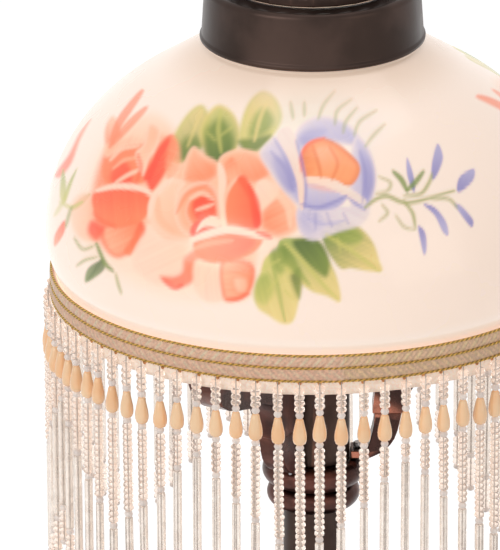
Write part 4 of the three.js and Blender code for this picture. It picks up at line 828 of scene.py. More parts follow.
# %% Lines: places, colour, width at the middle in millimetres, strength
LINES = [
    # sprays over the left rose
    ([(-74, 46), (-71, 54), (-67, 60), (-62.5, 66)], "coral", 2.6, 0.8),
    ([(-73, 47), (-67, 54), (-61, 60)], "coral", 2.4, 0.7),
    # folds of the big rose
    ([(-50, 22), (-46, 29), (-39, 32)], "coral", 1.0, 0.5), ([(-43, 23), (-40, 24), (-37, 25)], "pale",
     1.0, 0.8),
    ([(-45, 27), (-41, 29), (-37, 27)], "pale", 1.1, 0.75), ([(-45, 12), (-40, 14), (-32, 16), (-25, 15),
     (-19, 13)], "cream", 2.6, 0.95),
    ([(-21, 15), (-18, 14), (-16, 13)], "red", 1.4, 0.7), ([(-55, -2), (-51, -5), (-48, -4)], "red", 1.3,
     0.6),
    ([(-32, -9), (-28, -9), (-24, -7)], "deep", 1.2, 0.7), ([(-20, 18), (-21, 26), (-24, 32)], "red", 1.3,
     0.7),
    ([(-57, 28), (-56, 20), (-51, 15)], "peach", 2.2, 0.6), ([(-44, 9), (-38, 11), (-30, 12)], "peach",
     1.6, 0.5),
    ([(-52, 34), (-58, 28), (-60, 20)], "cream", 1.6, 0.7), ([(-15, 30), (-10, 24), (-9, 17)], "pale",
     2.2, 0.6),
    ([(-62, 13), (-66, 6)], "cream", 1.8, 0.5), ([(-40, 3), (-41, -6)], "haze", 2.0, 0.5),
    # folds of the left rose
    ([(-74, 41), (-70, 45), (-64, 46)], "pale", 1.3, 0.7), ([(-72, 33), (-67, 36), (-62, 38)], "pale",
     1.2, 0.8),
    ([(-73, 38), (-69, 41), (-64, 42)], "peach", 1.1, 0.7), ([(-65, 32), (-63, 38), (-64, 43)], "deep",
     1.4, 0.6),
    ([(-79, 30), (-73, 31.5), (-67, 31.5), (-62, 30.5), (-59, 28.5)], "cream", 2.0, 0.95),
    ([(-60, 34), (-57, 42), (-53, 48)], "red", 1.8, 0.6), ([(-80, 22), (-77, 19), (-72, 17)], "deep", 1.6,
     0.5),
    # folds of the blue rose
    ([(-1, 46), (1, 40), (2, 35)], "amber", 0.9, 0.7), ([(5, 46), (8, 40), (6, 34)], "amber", 0.9, 0.6),
    ([(-5, 37), (-5, 43), (-2, 47), (3, 49)], "deep", 1.1, 0.6),
    ([(3, 49), (9, 46), (15, 40)], "amber", 0.9, 0.5),
    ([(-5, 25), (1, 24), (7, 26), (11, 28)], "violet", 1.0, 0.7),
    ([(11, 28), (15, 25), (18, 23)], "violet", 0.9, 0.6),
    ([(-3, 20), (3, 18), (10, 19)], "blue", 1.2, 0.5), ([(-16, 44), (-11, 38), (-8, 30)], "violet", 1.3,
     0.4),
    ([(16, 44), (18, 36), (17, 26)], "violet", 1.2, 0.45), ([(-7, 48), (-5, 41), (-3.5, 32), (-4, 24)],
     "violet", 0.9, 0.6),
    ([(-15, 49), (-11, 42), (-8, 34)], "violet", 0.9, 0.4), ([(4, 22), (6, 17)], "violet", 0.8, 0.35),
    ([(10, 22), (12, 18)], "violet", 0.8, 0.35), ([(0, 22), (0, 16)], "violet", 0.8, 0.35),
    # ribs of the leaves
    ([(-46, 46), (-43, 54), (-41, 59)], "tip", 1.2, 0.5), ([(-34, 44), (-35, 52), (-34, 59)], "lime", 1.4,
     0.6),
    ([(-22, 48), (-20, 56), (-17, 63)], "tip", 1.3, 0.6), ([(-16, 7), (-14, -3), (-11, -17)], "green",
     1.2, 0.6),
    ([(-11, 11), (-4, 4), (3, -4), (8, -9)], "lime", 1.2, 0.75),
    ([(4, 14), (12, 9), (23, 1)], "lime", 1.2, 0.7),
    ([(-12, 0), (-17, -6)], "lime", 0.9, 0.5), ([(-13, 5), (-19, 2)], "lime", 0.9, 0.5),
    ([(-11, -6), (-8, -9)], "lime", 0.8, 0.5),
    ([(-12, 3), (-8, 0)], "lime", 0.8, 0.5), ([(8, 13), (9, 8)], "lime", 0.8, 0.5),
    ([(12, 9), (16, 11)], "lime", 0.8, 0.5),
    ([(-36, 48), (-39, 51)], "lime", 1.0, 0.4), ([(-34, 50), (-30, 53)], "lime", 1.0, 0.4),
    # stems, tendrils and fronds
    ([(18, 24), (22, 27), (26, 28), (31, 26), (36, 26), (50, 30)], "olive", 1.3, 0.85),
    ([(33, 30), (31, 34), (28, 37)], "leaf", 1.7, 0.85), ([(33, 30), (36, 33), (39, 37)], "leaf", 1.7,
     0.85),
    ([(32, 28), (38, 29), (41, 33), (42, 36)], "olive", 1.1, 0.8),
    ([(32, 26), (35, 22), (36, 17)], "olive", 1.1, 0.8),
    ([(42, 27), (48, 27), (51, 24)], "olive", 1.0, 0.7), ([(23, 35), (27, 33), (26, 30), (22, 29)],
     "olive", 1.0, 0.6),
    ([(24, 25), (26, 22), (23, 19)], "olive", 1.0, 0.6), ([(29, 21), (32, 17), (36, 16)], "olive", 0.9,
     0.6),
    ([(-9, 62), (-8, 56)], "olive", 1.2, 0.5), ([(-4, 62), (-4, 57)], "olive", 1.2, 0.5),
    ([(7, 66), (3, 61), (1, 56)], "olive", 1.2, 0.5), ([(13, 63), (8, 59), (7, 54)], "olive", 1.2, 0.5),
    ([(15, 60), (11, 55), (10, 51)], "olive", 1.2, 0.5), ([(22, 59), (16, 55), (14, 50)], "olive", 1.2,
     0.5),
    ([(25, 54), (21, 50), (18, 46)], "olive", 1.2, 0.5),
    ([(-92, 26), (-88, 24), (-84, 26)], "lime", 1.1, 0.7), ([(-91, 26), (-94, 21)], "lime", 1.3, 0.5),
    ([(-90, 17), (-89, 21), (-88, 24)], "olive", 1.0, 0.7), ([(-79, 11), (-76, 4), (-73, 1)], "leaf", 1.3,
     0.85),
    ([(-87, 13), (-84, 9), (-80, 10)], "olive", 0.9, 0.7), ([(-86, 3), (-83, 5), (-79, 6)], "olive", 0.9,
     0.7),
    ([(-72, 0), (-71, -4), (-70, -7)], "olive", 0.9, 0.7), ([(-82, -2), (-79, 2), (-77, 5)], "dark", 1.0,
     0.5),
]
print(len(PETALS), "petals and leaves,", len(LINES), "lines")


# %% Paint the bouquet on the glass
def brushed(u, v, way, seed):
    """Streaks of a brush drawn the given way: a sum of three sines across it with seeded phases, -1 to
    1."""
    rng = np.random.default_rng(seed)
    a = math.radians(way)
    across = -u * math.sin(a) + v * math.cos(a)
    along = u * math.cos(a) + v * math.sin(a)
    phase = rng.uniform(0, 6.28, 3)
    return sum(np.sin(f * across + p + 0.12 * along * (k + 1)) for k, (f, p) in
               enumerate(zip((0.9, 1.7, 3.1), phase))) / 3


def paint_on(colour, u, v):
    """The bouquet laid over colours at sheet places (u, v). A petal's strength rises from 0 to 1 over its
    softness, centred on its outline, and its rim colour falls off as exp(-(d / width)^2)."""
    for number, (outline, first, second, way, rim, width, soft, strength) in enumerate(PETALS):
        line = curve_through(outline, True)
        lo, hi = line.min(0) - soft, line.max(0) + soft
        pick = np.flatnonzero((u > lo[0]) & (u < hi[0]) & (v > lo[1]) & (v < hi[1]))
        if not len(pick):
            continue
        uu, vv = u[pick], v[pick]
        depth, _ = distance_to(line, True, uu, vv)
        a = math.radians(way)
        ahead = (uu - lo[0]) * math.cos(a) + (vv - lo[1]) * math.sin(a)
        ahead = (ahead - ahead.min()) / max(float(np.ptp(ahead)), 1e-6)
        streak = brushed(uu, vv, way + 12, number)
        mix = soft_step(ahead + 0.07 * streak, 0.05, 0.95)[:, None]
        shade = PAINT[first] * (1 - mix) + PAINT[second] * mix
        shade = shade * (1 + 0.035 * streak[:, None])
        if rim:
            edge = np.exp(-(np.maximum(depth, 0) / width) ** 2)[:, None] * 0.68
            shade = shade * (1 - edge) + PAINT[rim] * edge
        cover = (strength * soft_step(depth, -soft / 2, soft / 2))[:, None]
        colour[pick] = colour[pick] * (1 - cover) + shade * cover
    for places, name, width, strength in LINES:
        line = curve_through(places, False)
        lo, hi = line.min(0) - 3, line.max(0) + 3
        pick = np.flatnonzero((u > lo[0]) & (u < hi[0]) & (v > lo[1]) & (v < hi[1]))
        if not len(pick):
            continue
        away, along = distance_to(line, False, u[pick], v[pick])
        half = 0.5 * width * (0.35 + 0.65 * np.sin(math.pi * np.clip(along, 0, 1)) ** 0.6)
        cover = (strength * (1 - soft_step(away, half - 0.55, half + 0.9)))[:, None]
        colour[pick] = colour[pick] * (1 - cover) + PAINT[name] * cover
    return colour


glass_paint_and_light = np.tile(PAINT["glass"], (len(glass_points), 1))
outside = np.arange(len(glass_points)) < len(outer_rows) * len(turns)
for turned in (0.0, REPEAT):
    u, v = sheet_place(glass_points, turned)
    v = np.where(outside, v, NOWHERE)
    glass_paint_and_light = paint_on(glass_paint_and_light, u, v)
height = (glass_points[:, 2] - RIM) / MM
# painted light: the glass pales a little just above the braid; painted shade: it darkens under the crown's
# foot
low = soft_step(-height, -8, -3)[:, None] * 0.35
glass_paint_and_light = glass_paint_and_light * (1 - low) + np.array(tone(255, 246, 236)[:3]) * low
painted_crown_shade = soft_step(height, 77, 88)[:, None] * 0.55
glass_paint_and_light = glass_paint_and_light * (1 - painted_crown_shade) + np.array(tone(228, 198, 172)[:3]) * painted_crown_shade
print("painted share of the glass:", round(float((np.abs(glass_paint_and_light - PAINT["glass"]).sum(1) > 0.02).mean()), 3))

# %% The opal glass finish
OPAL, nodes, links, shader = fresh("painted_opal_glass", Emission_Strength=0.34, Coat_Weight=0.35,
                                   Coat_Roughness=0.08)
enamel_and_painted_light = nodes.new("ShaderNodeAttribute")
enamel_and_painted_light.attribute_name = "enamel_and_painted_light"
links.new(enamel_and_painted_light.outputs["Color"], shader.inputs["Base Color"])
links.new(enamel_and_painted_light.outputs["Color"], shader.inputs["Emission Color"])
ripple = placed(OPAL, MOTTLE, Scale=22, First=tone(0, 0, 0), Second=tone(255, 255, 255))
links.new(ranged(nodes, links, ripple.outputs["Mask"], 0.2, 0.32), shader.inputs["Roughness"])
bumped(nodes, links, shader, ripple.outputs["Grain"], 0.03, 0.0002)

shade = piece_from("painted_glass_shade", glass_points, glass_faces, 50, [OPAL])
# The stored colours are the painted flowers on the glass, with the painted light and shade laid over them.
enamel_and_light_layer = shade.data.color_attributes.new("enamel_and_painted_light", "FLOAT_COLOR", "POINT")
enamel_and_light_rows = np.column_stack([glass_paint_and_light, np.ones(len(glass_paint_and_light))]).astype(np.float32)
enamel_and_light_layer.data.foreach_set("color", enamel_and_light_rows.ravel())
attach(shade, "shade")
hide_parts("glass_shade")
print("painted_glass_shade:", len(shade.data.polygons), "faces")

# %% [markdown]
# ## Turned and spun metal
#
# Most of the stand is brass or iron turned on a lathe or spun over a form, then given a brown patina.
# Each of these pieces is the frame's outline, refined and spun again with many steps. An azimuth goes
# with each, where no hole or cut crosses the outline.

# %% Turn a piece
def turned(node, azimuth, material, body, slot, turns=96, name=None, **how):
    """The node's outline read at the azimuth, refined, spun and put in the node's stead."""
    line, closed = outline_of(node, azimuth)
    line = refined(line, closed, **how)
    piece = spun(name or node + "_turned", line, closed, turns, [material])
    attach(piece, body)
    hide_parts(node)
    print(f"{piece.name}: outline of {len(line)} points, {len(piece.data.polygons)} faces")
    return piece


# %% Foot and stem
turned("felt_pad", 30, FELT, "stand", "felt", 72)
turned("base_weight", 30, IRON, "stand", "iron", 72)
turned("foot_shell", 30, BRONZE, "stand", "bronze", 128)
turned("base_washer", 30, STEEL, "stand", "steel", 48)
turned("stem", 30, BRONZE_CAST, "stand", "bronze", 96)
turned("stem_ring", 30, BRONZE, "stand", "bronze", 96)

# %% Font, hub and riser
turned("font_seat", 30, BRONZE_CAST, "stand", "bronze", 96)
turned("font_lower", 30, BRONZE, "stand", "bronze", 128)
turned("font_upper", 30, BRONZE, "stand", "bronze", 128)
turned("font_collar", 30, BRONZE, "stand", "bronze", 96)
turned("hub", 30, BRONZE_CAST, "stand", "bronze", 96)
turned("riser_tube", 30, BRONZE, "stand", "bronze", 72)
turned("shade_ring", 30, BRONZE, "stand", "bronze", 144)

# %% [markdown]
# ## The belt of the font
#
# The belt covers the seam between the two halves of the font. Cast belts of this kind carry a row of beads
# between two plain fillets, so the band's radius rises and falls along the turn.

# %% Font belt
low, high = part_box("font_belt")
BELT_IN, BELT_OUT = 53.3 * MM, 55.1 * MM


def beaded_belt(rows=15, beads=90, per_bead=8):
    """A closed ring section: inner wall at BELT_IN, outer wall with r = BELT_OUT - 0.8 + 0.8 * dome in
    millimetres, where the dome is sqrt(1 - s^2 - t^2) over each bead, s across the belt's middle half and
    t along the turn. A fillet of the same height runs along each edge."""
    t = np.arange(beads * per_bead) / per_bead
    along = (t % 1 - 0.5) * 2
    up = np.linspace(-1, 1, rows)
    dome = np.sqrt(np.clip(1 - (up[:, None] * 1.9) ** 2 - along[None, :] ** 2, 0, 1))
    fillet = np.exp(-(((np.abs(up) - 0.85) / 0.14) ** 2))[:, None]
    wall = BELT_OUT - 0.8 * MM + 0.8 * MM * np.maximum(dome, fillet)
    z = low[2] + (up[:, None] + 1) / 2 * (high[2] - low[2]) + 0 * along
    inner = np.full((2, len(t)), BELT_IN)
    r = np.vstack([wall, inner])
    z = np.vstack([z, np.full((1, len(t)), high[2]), np.full((1, len(t)), low[2])])
    a = t / beads * 2 * math.pi
    points = np.stack([r * np.cos(a), r * np.sin(a), z], axis=-1).reshape(-1, 3)
    return points, grid_faces(rows + 2, len(t), True, True)


belt = piece_from("font_belt_beaded", *beaded_belt(), 50, [BRONZE_CAST])
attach(belt, "stand")
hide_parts("font_belt")
print("belt faces:", len(belt.data.polygons))

# %% [markdown]
# ## Cast and cut pieces
#
# Arms, screws, nuts and pierced pieces aren't plain turnings. Their exact shape is already in the frame,
# but a casting has no knife edges, so a copy of the mesh is joined up, its flat faces are merged, and a
# Bevel modifier rounds every real edge.

# %% Round the edges of a frame piece
def eased(node, material, body, width, segments=3, angle=32, name=None, merge=True):
    """A copy of the node with its loose triangles joined, flats merged, and edges sharper than the angle
    rounded to the width."""
    work = bmesh.new()
    work.from_mesh(NODES[node].data)
    bmesh.ops.remove_doubles(work, verts=work.verts, dist=2e-6)
    if merge:
        bmesh.ops.dissolve_limit(work, angle_limit=math.radians(1), verts=work.verts, edges=work.edges,
                                 delimit={"NORMAL"})
    mesh = bpy.data.meshes.new(name or node + "_eased")
    work.to_mesh(mesh)
    work.free()
    mesh.materials.clear()
    mesh.materials.append(material)
    mesh.shade_smooth()
    mesh.set_sharp_from_angle(angle=math.radians(angle + 12))
    piece = bpy.data.objects.new(mesh.name, mesh)
    bpy.context.scene.collection.objects.link(piece)
    rounding = piece.modifiers.new("rounded_edges", "BEVEL")
    rounding.width, rounding.segments = width, segments
    rounding.limit_method, rounding.angle_limit = "ANGLE", math.radians(angle)
    rounding.use_clamp_overlap = True
    rounding.harden_normals = False
    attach(piece, body)
    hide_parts(node)
    return piece


# %% Arms, pins and screws
for number in (1, 2, 3):
    eased(f"arm_lower_{number}", BRONZE_CAST, "stand", 0.9 * MM)
    eased(f"arm_upper_{number}", BRONZE_CAST, "stand", 1.3 * MM)
    eased(f"arm_pin_{number}", STEEL, "stand", 0.2 * MM, 2)
    eased(f"hub_screw_{number}", STEEL, "stand", 0.25 * MM, 2)
    eased(f"ring_screw_{number}", STEEL, "stand", 0.25 * MM, 2)
eased("tie_rod", STEEL, "stand", 0.2 * MM, 2)
eased("base_nut", STEEL, "stand", 0.3 * MM, 2)
print("arms and screws eased")

# %% [markdown]
# ## The crown
#
# The crown is a spun band with a rolled foot that sits on the neck of the glass, a pierced gallery that
# lets the heat out, and a turned rim. It is darker than the arms, since nothing rubs it and its edges get
# less painted highlight.

# %% Crown
CROWN_BROWN = finish_of("dark_crown_patina", tone(56, 44, 39), tone(76, 60, 54), scale=30,
                        rough=(0.3, 0.46), edge=tone(136, 104, 92), edge_amount=0.5, bump=0.15,
                        Metallic=0.88)
turned("crown_band", 30, CROWN_BROWN, "crown", "bronze", 160)
eased("crown_gallery", CROWN_BROWN, "crown", 0.5 * MM, 2)
turned("crown_rim", 30, CROWN_BROWN, "crown", "bronze", 128)

# %% [markdown]
# ## Filler
#
# Oil goes in through a small neck on the font's shoulder, closed by a screw cap on a cork gasket.

# %% Filler cap, gasket and neck
eased("filler_neck", BRASS, "stand", 0.3 * MM, 2)
eased("filler_gasket", CORK, "filler", 0.2 * MM, 2)
eased("filler_cap", BRONZE, "filler", 0.5 * MM, 3)

# %% [markdown]
# ## Burner, wick and chimney
#
# The burner is thin aged brass. The wick is a flat woven cotton ribbon, white below and charred at its
# tip. The chimney is blown clear glass with a bulge beside the flame, and its thin wall is what shows, so
# it is a closed shell with a true wall.

# %% Burner
turned("burner_collar", 40, BRASS, "burner", "burner_brass", 96)
eased("burner_cone", BRASS, "burner", 0.3 * MM, 2)
eased("burner_basket", BRASS, "burner", 0.3 * MM, 2)
eased("wick_tube", BRASS, "burner", 0.3 * MM, 2)
eased("chimney_gallery", BRASS, "burner", 0.3 * MM, 2)
eased("wick_shaft", STEEL, "wick_raiser", 0.2 * MM, 2)
eased("wick_wheel_1", BRASS, "wick_raiser", 0.15 * MM, 2)
eased("wick_wheel_2", BRASS, "wick_raiser", 0.15 * MM, 2)
eased("wick_knob", BRASS, "wick_raiser", 0.3 * MM, 3)

# %% Wick
CHAR_FROM, CHAR_FULL = 246.5 * MM, 250.5 * MM
WICK, nodes, links, shader = fresh("woven_wick_cotton", Roughness=0.95)
where = nodes.new("ShaderNodeTexCoord")
apart = nodes.new("ShaderNodeSeparateXYZ")
links.new(where.outputs["Object"], apart.inputs[0])
ribs = nodes.new("ShaderNodeTexWave")
ribs.bands_direction = "Z"
ribs.inputs["Scale"].default_value = 210
ribs.inputs["Distortion"].default_value = 1.2
ribs.inputs["Detail Scale"].default_value = 40
links.new(where.outputs["Object"], ribs.inputs["Vector"])
char = nodes.new("ShaderNodeMapRange")
char.interpolation_type = "SMOOTHSTEP"
char.inputs["From Min"].default_value = CHAR_FROM
char.inputs["From Max"].default_value = CHAR_FULL
links.new(apart.outputs["Z"], char.inputs["Value"])
burnt = nodes.new("ShaderNodeMix")
burnt.data_type = "RGBA"
cotton = placed(WICK, MOTTLE, Scale=300, First=tone(214, 204, 184), Second=tone(238, 232, 218))
links.new(char.outputs[0], burnt.inputs["Factor"])
links.new(cotton.outputs["Color"], burnt.inputs["A"])
burnt.inputs["B"].default_value = tone(36, 30, 28)
links.new(burnt.outputs["Result"], shader.inputs["Base Color"])
bumped(nodes, links, shader, ribs.outputs["Fac"], 0.8, 0.0004)
eased("wick", WICK, "wick", 0.5 * MM, 3)

# %% Chimney
CLEAR, nodes, links, shader = fresh("clear_chimney_glass", Transmission_Weight=1.0, IOR=1.47)
tint = placed(CLEAR, MOTTLE, Scale=18, First=tone(246, 250, 248), Second=tone(254, 255, 255))
links.new(tint.outputs["Color"], shader.inputs["Base Color"])
links.new(ranged(nodes, links, tint.outputs["Mask"], 0.0, 0.03), shader.inputs["Roughness"])
turned("chimney", 20, CLEAR, "chimney", "clear_glass", 112, round_by=0.5 * MM)

# %% [markdown]
# ## Tape and braid
#
# The fringe is sewn to a cotton tape, and the tape is glued round the rim of the glass. A woven braid
# covers its upper part: two rounded ridges of slanting stitches with a twisted gold cord above, between
# and below them. The tape is one sheet of cloth with a real thickness. The ridges are a height laid over
# a ring, and the cords are two strands that wind round each other, since light catches such cords strand
# by strand.

# %% Cloth finishes
def cloth_of(name, attribute, rough=0.85, sheen=0.25, bump=0.5, depth=0.0003, scale=900, **sockets):
    """A cloth finish whose colour is the piece's own attribute and whose bump is a fine noise."""
    m, nodes, links, shader = fresh(name, Sheen_Weight=sheen, Roughness=rough, **sockets)
    cloud = placed(m, MOTTLE, Scale=scale, First=tone(226, 226, 226), Second=tone(255, 255, 255))
    links.new(times_own(nodes, links, cloud.outputs["Color"], attribute), shader.inputs["Base Color"])
    bumped(nodes, links, shader, cloud.outputs["Grain"], bump, depth)
    return m


def coloured(piece, name, colours):
    """Stores one linear colour per point on the piece, under the name that its finish reads."""
    layer = piece.data.color_attributes.new(name, "FLOAT_COLOR", "POINT")
    rows = np.column_stack([colours, np.ones(len(colours))]).astype(np.float32)
    layer.data.foreach_set("color", rows.ravel())


# The tape and the braid give off a little warm light of their own, a painted glow for the lamp's light
# around the rim.
TAPE_COTTON = cloth_of("peach_cotton_tape", "dye_and_painted_light", Emission_Strength=0.3,
                       Emission_Color=tone(253, 222, 200))
BRAID_YARN = cloth_of("woven_braid_yarn", "dye_and_painted_light", rough=0.5, sheen=0.3, Coat_Weight=0.2,
                      Emission_Strength=0.12, Emission_Color=tone(240, 208, 182))
GOLD_CORD = cloth_of("twisted_gold_cord", "dye_and_painted_light", rough=0.42, sheen=0.0, Metallic=0.35)

# %% Tape
TAPE_R, TAPE_LOW, TAPE_HIGH, TAPE_THICK = 98.85 * MM, 239 * MM, 254 * MM, 0.4 * MM


def tape_sheet(rows=9, columns=480):
    """The middle surface of the tape: a ring of radius TAPE_R whose lower edge waves by 0.12 mm where the
    strands pull at it, point (i, j) at height low + (high - low) i / (rows - 1)."""
    t = np.arange(columns) * 2 * math.pi / columns
    up = np.linspace(0, 1, rows)[:, None]
    r = TAPE_R + 0.12 * MM * (1 - up) * np.sin(80 * t)[None, :]
    z = TAPE_LOW + (TAPE_HIGH - TAPE_LOW) * up + 0 * t
    points = np.stack([r * np.sin(t), -r * np.cos(t), z], axis=-1).reshape(-1, 3)
    return points, grid_faces(rows, columns, False, True)


tape = piece_from("fringe_tape_cotton", *tape_sheet(), 60, [TAPE_COTTON])
coloured(tape, "dye_and_painted_light", np.tile(np.array(tone(255, 240, 226)[:3]), (len(tape.data.vertices), 1)))
thick = tape.modifiers.new("tape_thickness", "SOLIDIFY")
thick.thickness, thick.offset = TAPE_THICK, 0
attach(tape, "shade")
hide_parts("fringe_tape")
print("tape:", round(2 * math.pi * TAPE_R, 4), "m round")

# %% Braid ridges
BRAID_IN, BRAID_LOW, BRAID_HIGH, JOIN = 99.42 * MM, 244.6 * MM, 254.9 * MM, 6.0
YARN_TONES_LIT_AND_SHADED = [np.array(tone(*c)[:3]) for c in ((255, 210, 176), (244, 188, 158), (232, 190, 156),
                                          (246, 206, 158))]


def painted_shade_half(t):
    """0 on the left of the join in the braid, 1 on its right, as the angle t in degrees passes it. The
    right half, away from the key lamp, takes darker yarn tones as painted shade.
    """
    past = (t + 180) % 360 - 180
    return soft_step(past, JOIN - 0.25, JOIN + 0.25) * soft_step(180 - np.abs(past), 0, 2)


def braid_ridges(rows=17, columns=1840, stitches=262):
    """A closed ring section. Across the ring, the outer radius is BRAID_IN + 0.35 + 0.75 * |sin(2 pi
    v)|^0.7, two ridges, and each stitch raises it by 0.28 * sin(p), with p running along the ring and
    slanting up one ridge and down the other. The left end lies over the right one for four degrees before
    the join."""
    t = np.arange(columns) * 360 / columns
    v = np.linspace(0, 1, rows)[:, None]
    slant = np.where(v < 0.5, v, 1 - v) * 4
    p = 2 * math.pi * (t[None, :] / 360 * stitches + slant)
    ridge = np.abs(np.sin(2 * math.pi * v)) ** 0.7
    lap = soft_step(t, JOIN - 4.5, JOIN - 4) * (1 - soft_step(t, JOIN - 0.1, JOIN + 0.1))
    out = BRAID_IN + (0.35 + 0.75 * ridge + 0.28 * np.sin(p) * ridge + 0.3 * lap) * MM
    z = BRAID_LOW + (BRAID_HIGH - BRAID_LOW) * v + 0 * t
    r = np.vstack([out, np.full((2, columns), BRAID_IN)])
    z = np.vstack([z, z[-1:], z[:1]])
    a = np.radians(t)
    points = np.stack([r * np.sin(a), -r * np.cos(a), z], axis=-1).reshape(-1, 3)
    # Painted light in the yarn colour: lighter on each stitch's crest and the ridge tops, darker in the
    # grooves, random painted glints on the lower ridge and a painted sheen on the upper one. The right half
    # of the ring takes slightly darker yarn tones, painted shade on the side away from the key lamp.
    lower = v < 0.5
    painted_glint = np.random.default_rng(7).uniform(0, 1, p.shape) > 0.93
    shade = 0.88 + (0.24 * (0.5 + 0.5 * np.sin(p)) + 0.22 * lower * painted_glint) * ridge
    shade = shade + 0.1 * np.where(lower, 0, ridge)
    warm = 0.5 + 0.5 * np.sin(p * 0.5 + 5 * v)
    left = YARN_TONES_LIT_AND_SHADED[0] * warm[..., None] + YARN_TONES_LIT_AND_SHADED[1] * (1 - warm[..., None])
    right = YARN_TONES_LIT_AND_SHADED[3] * warm[..., None] + YARN_TONES_LIT_AND_SHADED[2] * (1 - warm[..., None])
    side = painted_shade_half(t)[None, :, None]
    dye_and_painted_light = np.clip((left * (1 - side) + right * side) * shade[..., None], 0, 0.95)
    dye_and_painted_light = np.concatenate([dye_and_painted_light, dye_and_painted_light[-1:], dye_and_painted_light[:1]]).reshape(-1, 3)
    return points, grid_faces(rows + 2, columns, True, True), dye_and_painted_light


points, faces, dye_and_painted_light = braid_ridges()
braid = piece_from("fringe_braid_woven", points, faces, 60, [BRAID_YARN])
coloured(braid, "dye_and_painted_light", dye_and_painted_light)
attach(braid, "shade")
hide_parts("fringe_braid")
print("braid:", len(faces), "faces")


# %% Gold cords
def wound_cord(height, radius, ply=0.27 * MM, strand=0.31 * MM, turns=290, per_turn=6, sides=6):
    """Two strands round a ring at a height: strand k's middle is the ring plus ply * (cos w, sin w) in
    radius and height, with w = turns * t + k pi, and its wall is a circle of radius strand about that
    middle."""
    n = turns * per_turn
    t = np.arange(n) * 2 * math.pi / n
    s = np.arange(sides) * 2 * math.pi / sides
    points, faces = [], []
    for k in (0, 1):
        w = turns * t + k * math.pi
        r = radius + ply * np.cos(w)[:, None] + strand * np.cos(s)[None, :]
        z = height + ply * np.sin(w)[:, None] + strand * np.sin(s)[None, :]
        a = t[:, None] + 0 * s
        points.append(np.stack([r * np.sin(a), -r * np.cos(a), z], axis=-1).reshape(-1, 3))
        faces.append(grid_faces(n, sides, True, True) + k * n * sides)
    return np.vstack(points), np.vstack(faces)[:, ::-1]


cord_points, cord_faces, cord_dye = [], [], []
for height, radius in ((BRAID_LOW, 100.1), (0.5 * (BRAID_LOW + BRAID_HIGH), 100.2),
                       (BRAID_HIGH - 0.3 * MM, 100.1)):
    points, faces = wound_cord(height, radius * MM)
    cord_faces.append(faces + sum(len(p) for p in cord_points))
    cord_points.append(points)
    half = len(points) // 2
    gold = np.tile(np.array(tone(252, 208, 112)[:3]), (half, 1))
    dark = np.tile(np.array(tone(182, 146, 70)[:3]), (half, 1))
    cord_dye.append(np.vstack([gold, dark]))
cords = piece_from("fringe_gold_cords", np.vstack(cord_points), np.vstack(cord_faces), 70, [GOLD_CORD])
coloured(cords, "dye_and_painted_light", np.vstack(cord_dye))
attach(cords, "shade")
print("gold cords:", len(cords.data.polygons), "faces")

# %% [markdown]
# ## The bead fringe
#
# Eighty strands hang from the tape, four and a half degrees apart. Each is strung alike: four clear
# seeds, a small white bead, a peach drop, a white bead, a run of clear seeds, a white bead, a long bugle,
# a white bead, five seeds and an end bead. Only the run differs, from two seeds to eighteen and back over
# ten strands, which makes eight scallops. One bead of each kind is shaped as a small turning, and numpy
# copies it to all its places at once, one piece for each kind. A bead has only a few dozen faces, because
# there are hundreds.

# %% Where every bead hangs
STRANDS, RUNS = 80, (2, 5, 9, 12, 15, 18, 15, 12, 9, 5)
HANG_R, HANG_TOP = 101.45 * MM, 243.0 * MM
SEED, WHITE, DROP, BUGLE, END = 2.35 * MM, 2.6 * MM, 10.2 * MM, 42 * MM, 2.2 * MM
rng = np.random.default_rng(41)
strand_angle = np.radians(19 + 4.5 * np.arange(STRANDS)) + rng.uniform(-0.0042, 0.0042, STRANDS)
strand_drop = rng.uniform(-0.9, 0.9, STRANDS) * MM
strand_sway = rng.normal(0, 0.0045, STRANDS)
strand_lean = rng.uniform(-0.0035, 0.001, STRANDS)
order = []
for strand in range(STRANDS):
    string = [("seed", SEED)] * 4 + [("white", WHITE), ("drop", DROP), ("white", WHITE)]
    string += [("seed", SEED)] * RUNS[strand % 10] + [("white", WHITE), ("bugle", BUGLE), ("white", WHITE)]
    string += [("seed", SEED)] * 5 + [("white", END)]
    z = HANG_TOP + strand_drop[strand]
    for kind, length in string:
        order.append((strand, kind, z - length / 2, length))
        z -= length
KINDS = ("seed", "white", "drop", "bugle")
beads = np.array([(s, KINDS.index(k), z, tall) for s, k, z, tall in order])
print("beads:", len(beads), "lowest at", round(float((beads[:, 2] - beads[:, 3] / 2).min()), 4))


def hung_at(strand, z):
    """Where a strand's line is at height z: angle plus sway times the drop below the tape, radius plus
    lean times that drop."""
    strand = np.asarray(strand, int)
    below = HANG_TOP - z
    a = strand_angle[strand] + strand_sway[strand] * below / HANG_R
    r = HANG_R + strand_lean[strand] * below
    return np.stack([r * np.sin(a), -r * np.cos(a), z + 0 * r], axis=-1)


# %% Bead shapes
def small_turning(radii, heights, sides):
    """A closed turning: rings of the given radii and heights, each with sides points, and a point at each
    end."""
    t = np.arange(sides) * 2 * math.pi / sides
    r, z = np.array(radii)[:, None], np.array(heights)[:, None]
    ring = np.stack([r * np.cos(t), r * np.sin(t), z + 0 * t], axis=-1).reshape(-1, 3)
    points = np.vstack([ring, [[0, 0, heights[0]], [0, 0, heights[-1]]]])
    rows, n = len(radii), len(ring)
    quads = grid_faces(rows, sides, False, True)
    j = np.arange(sides)
    k = (j + 1) % sides
    low = np.stack([np.full(sides, n), k, j, j], axis=-1)[:, :3]
    high = np.stack([np.full(sides, n + 1), (rows - 1) * sides + j, (rows - 1) * sides + k], axis=-1)
    tris = np.vstack([quads[:, [0, 1, 2]], quads[:, [0, 2, 3]], low, high])
    return points, tris


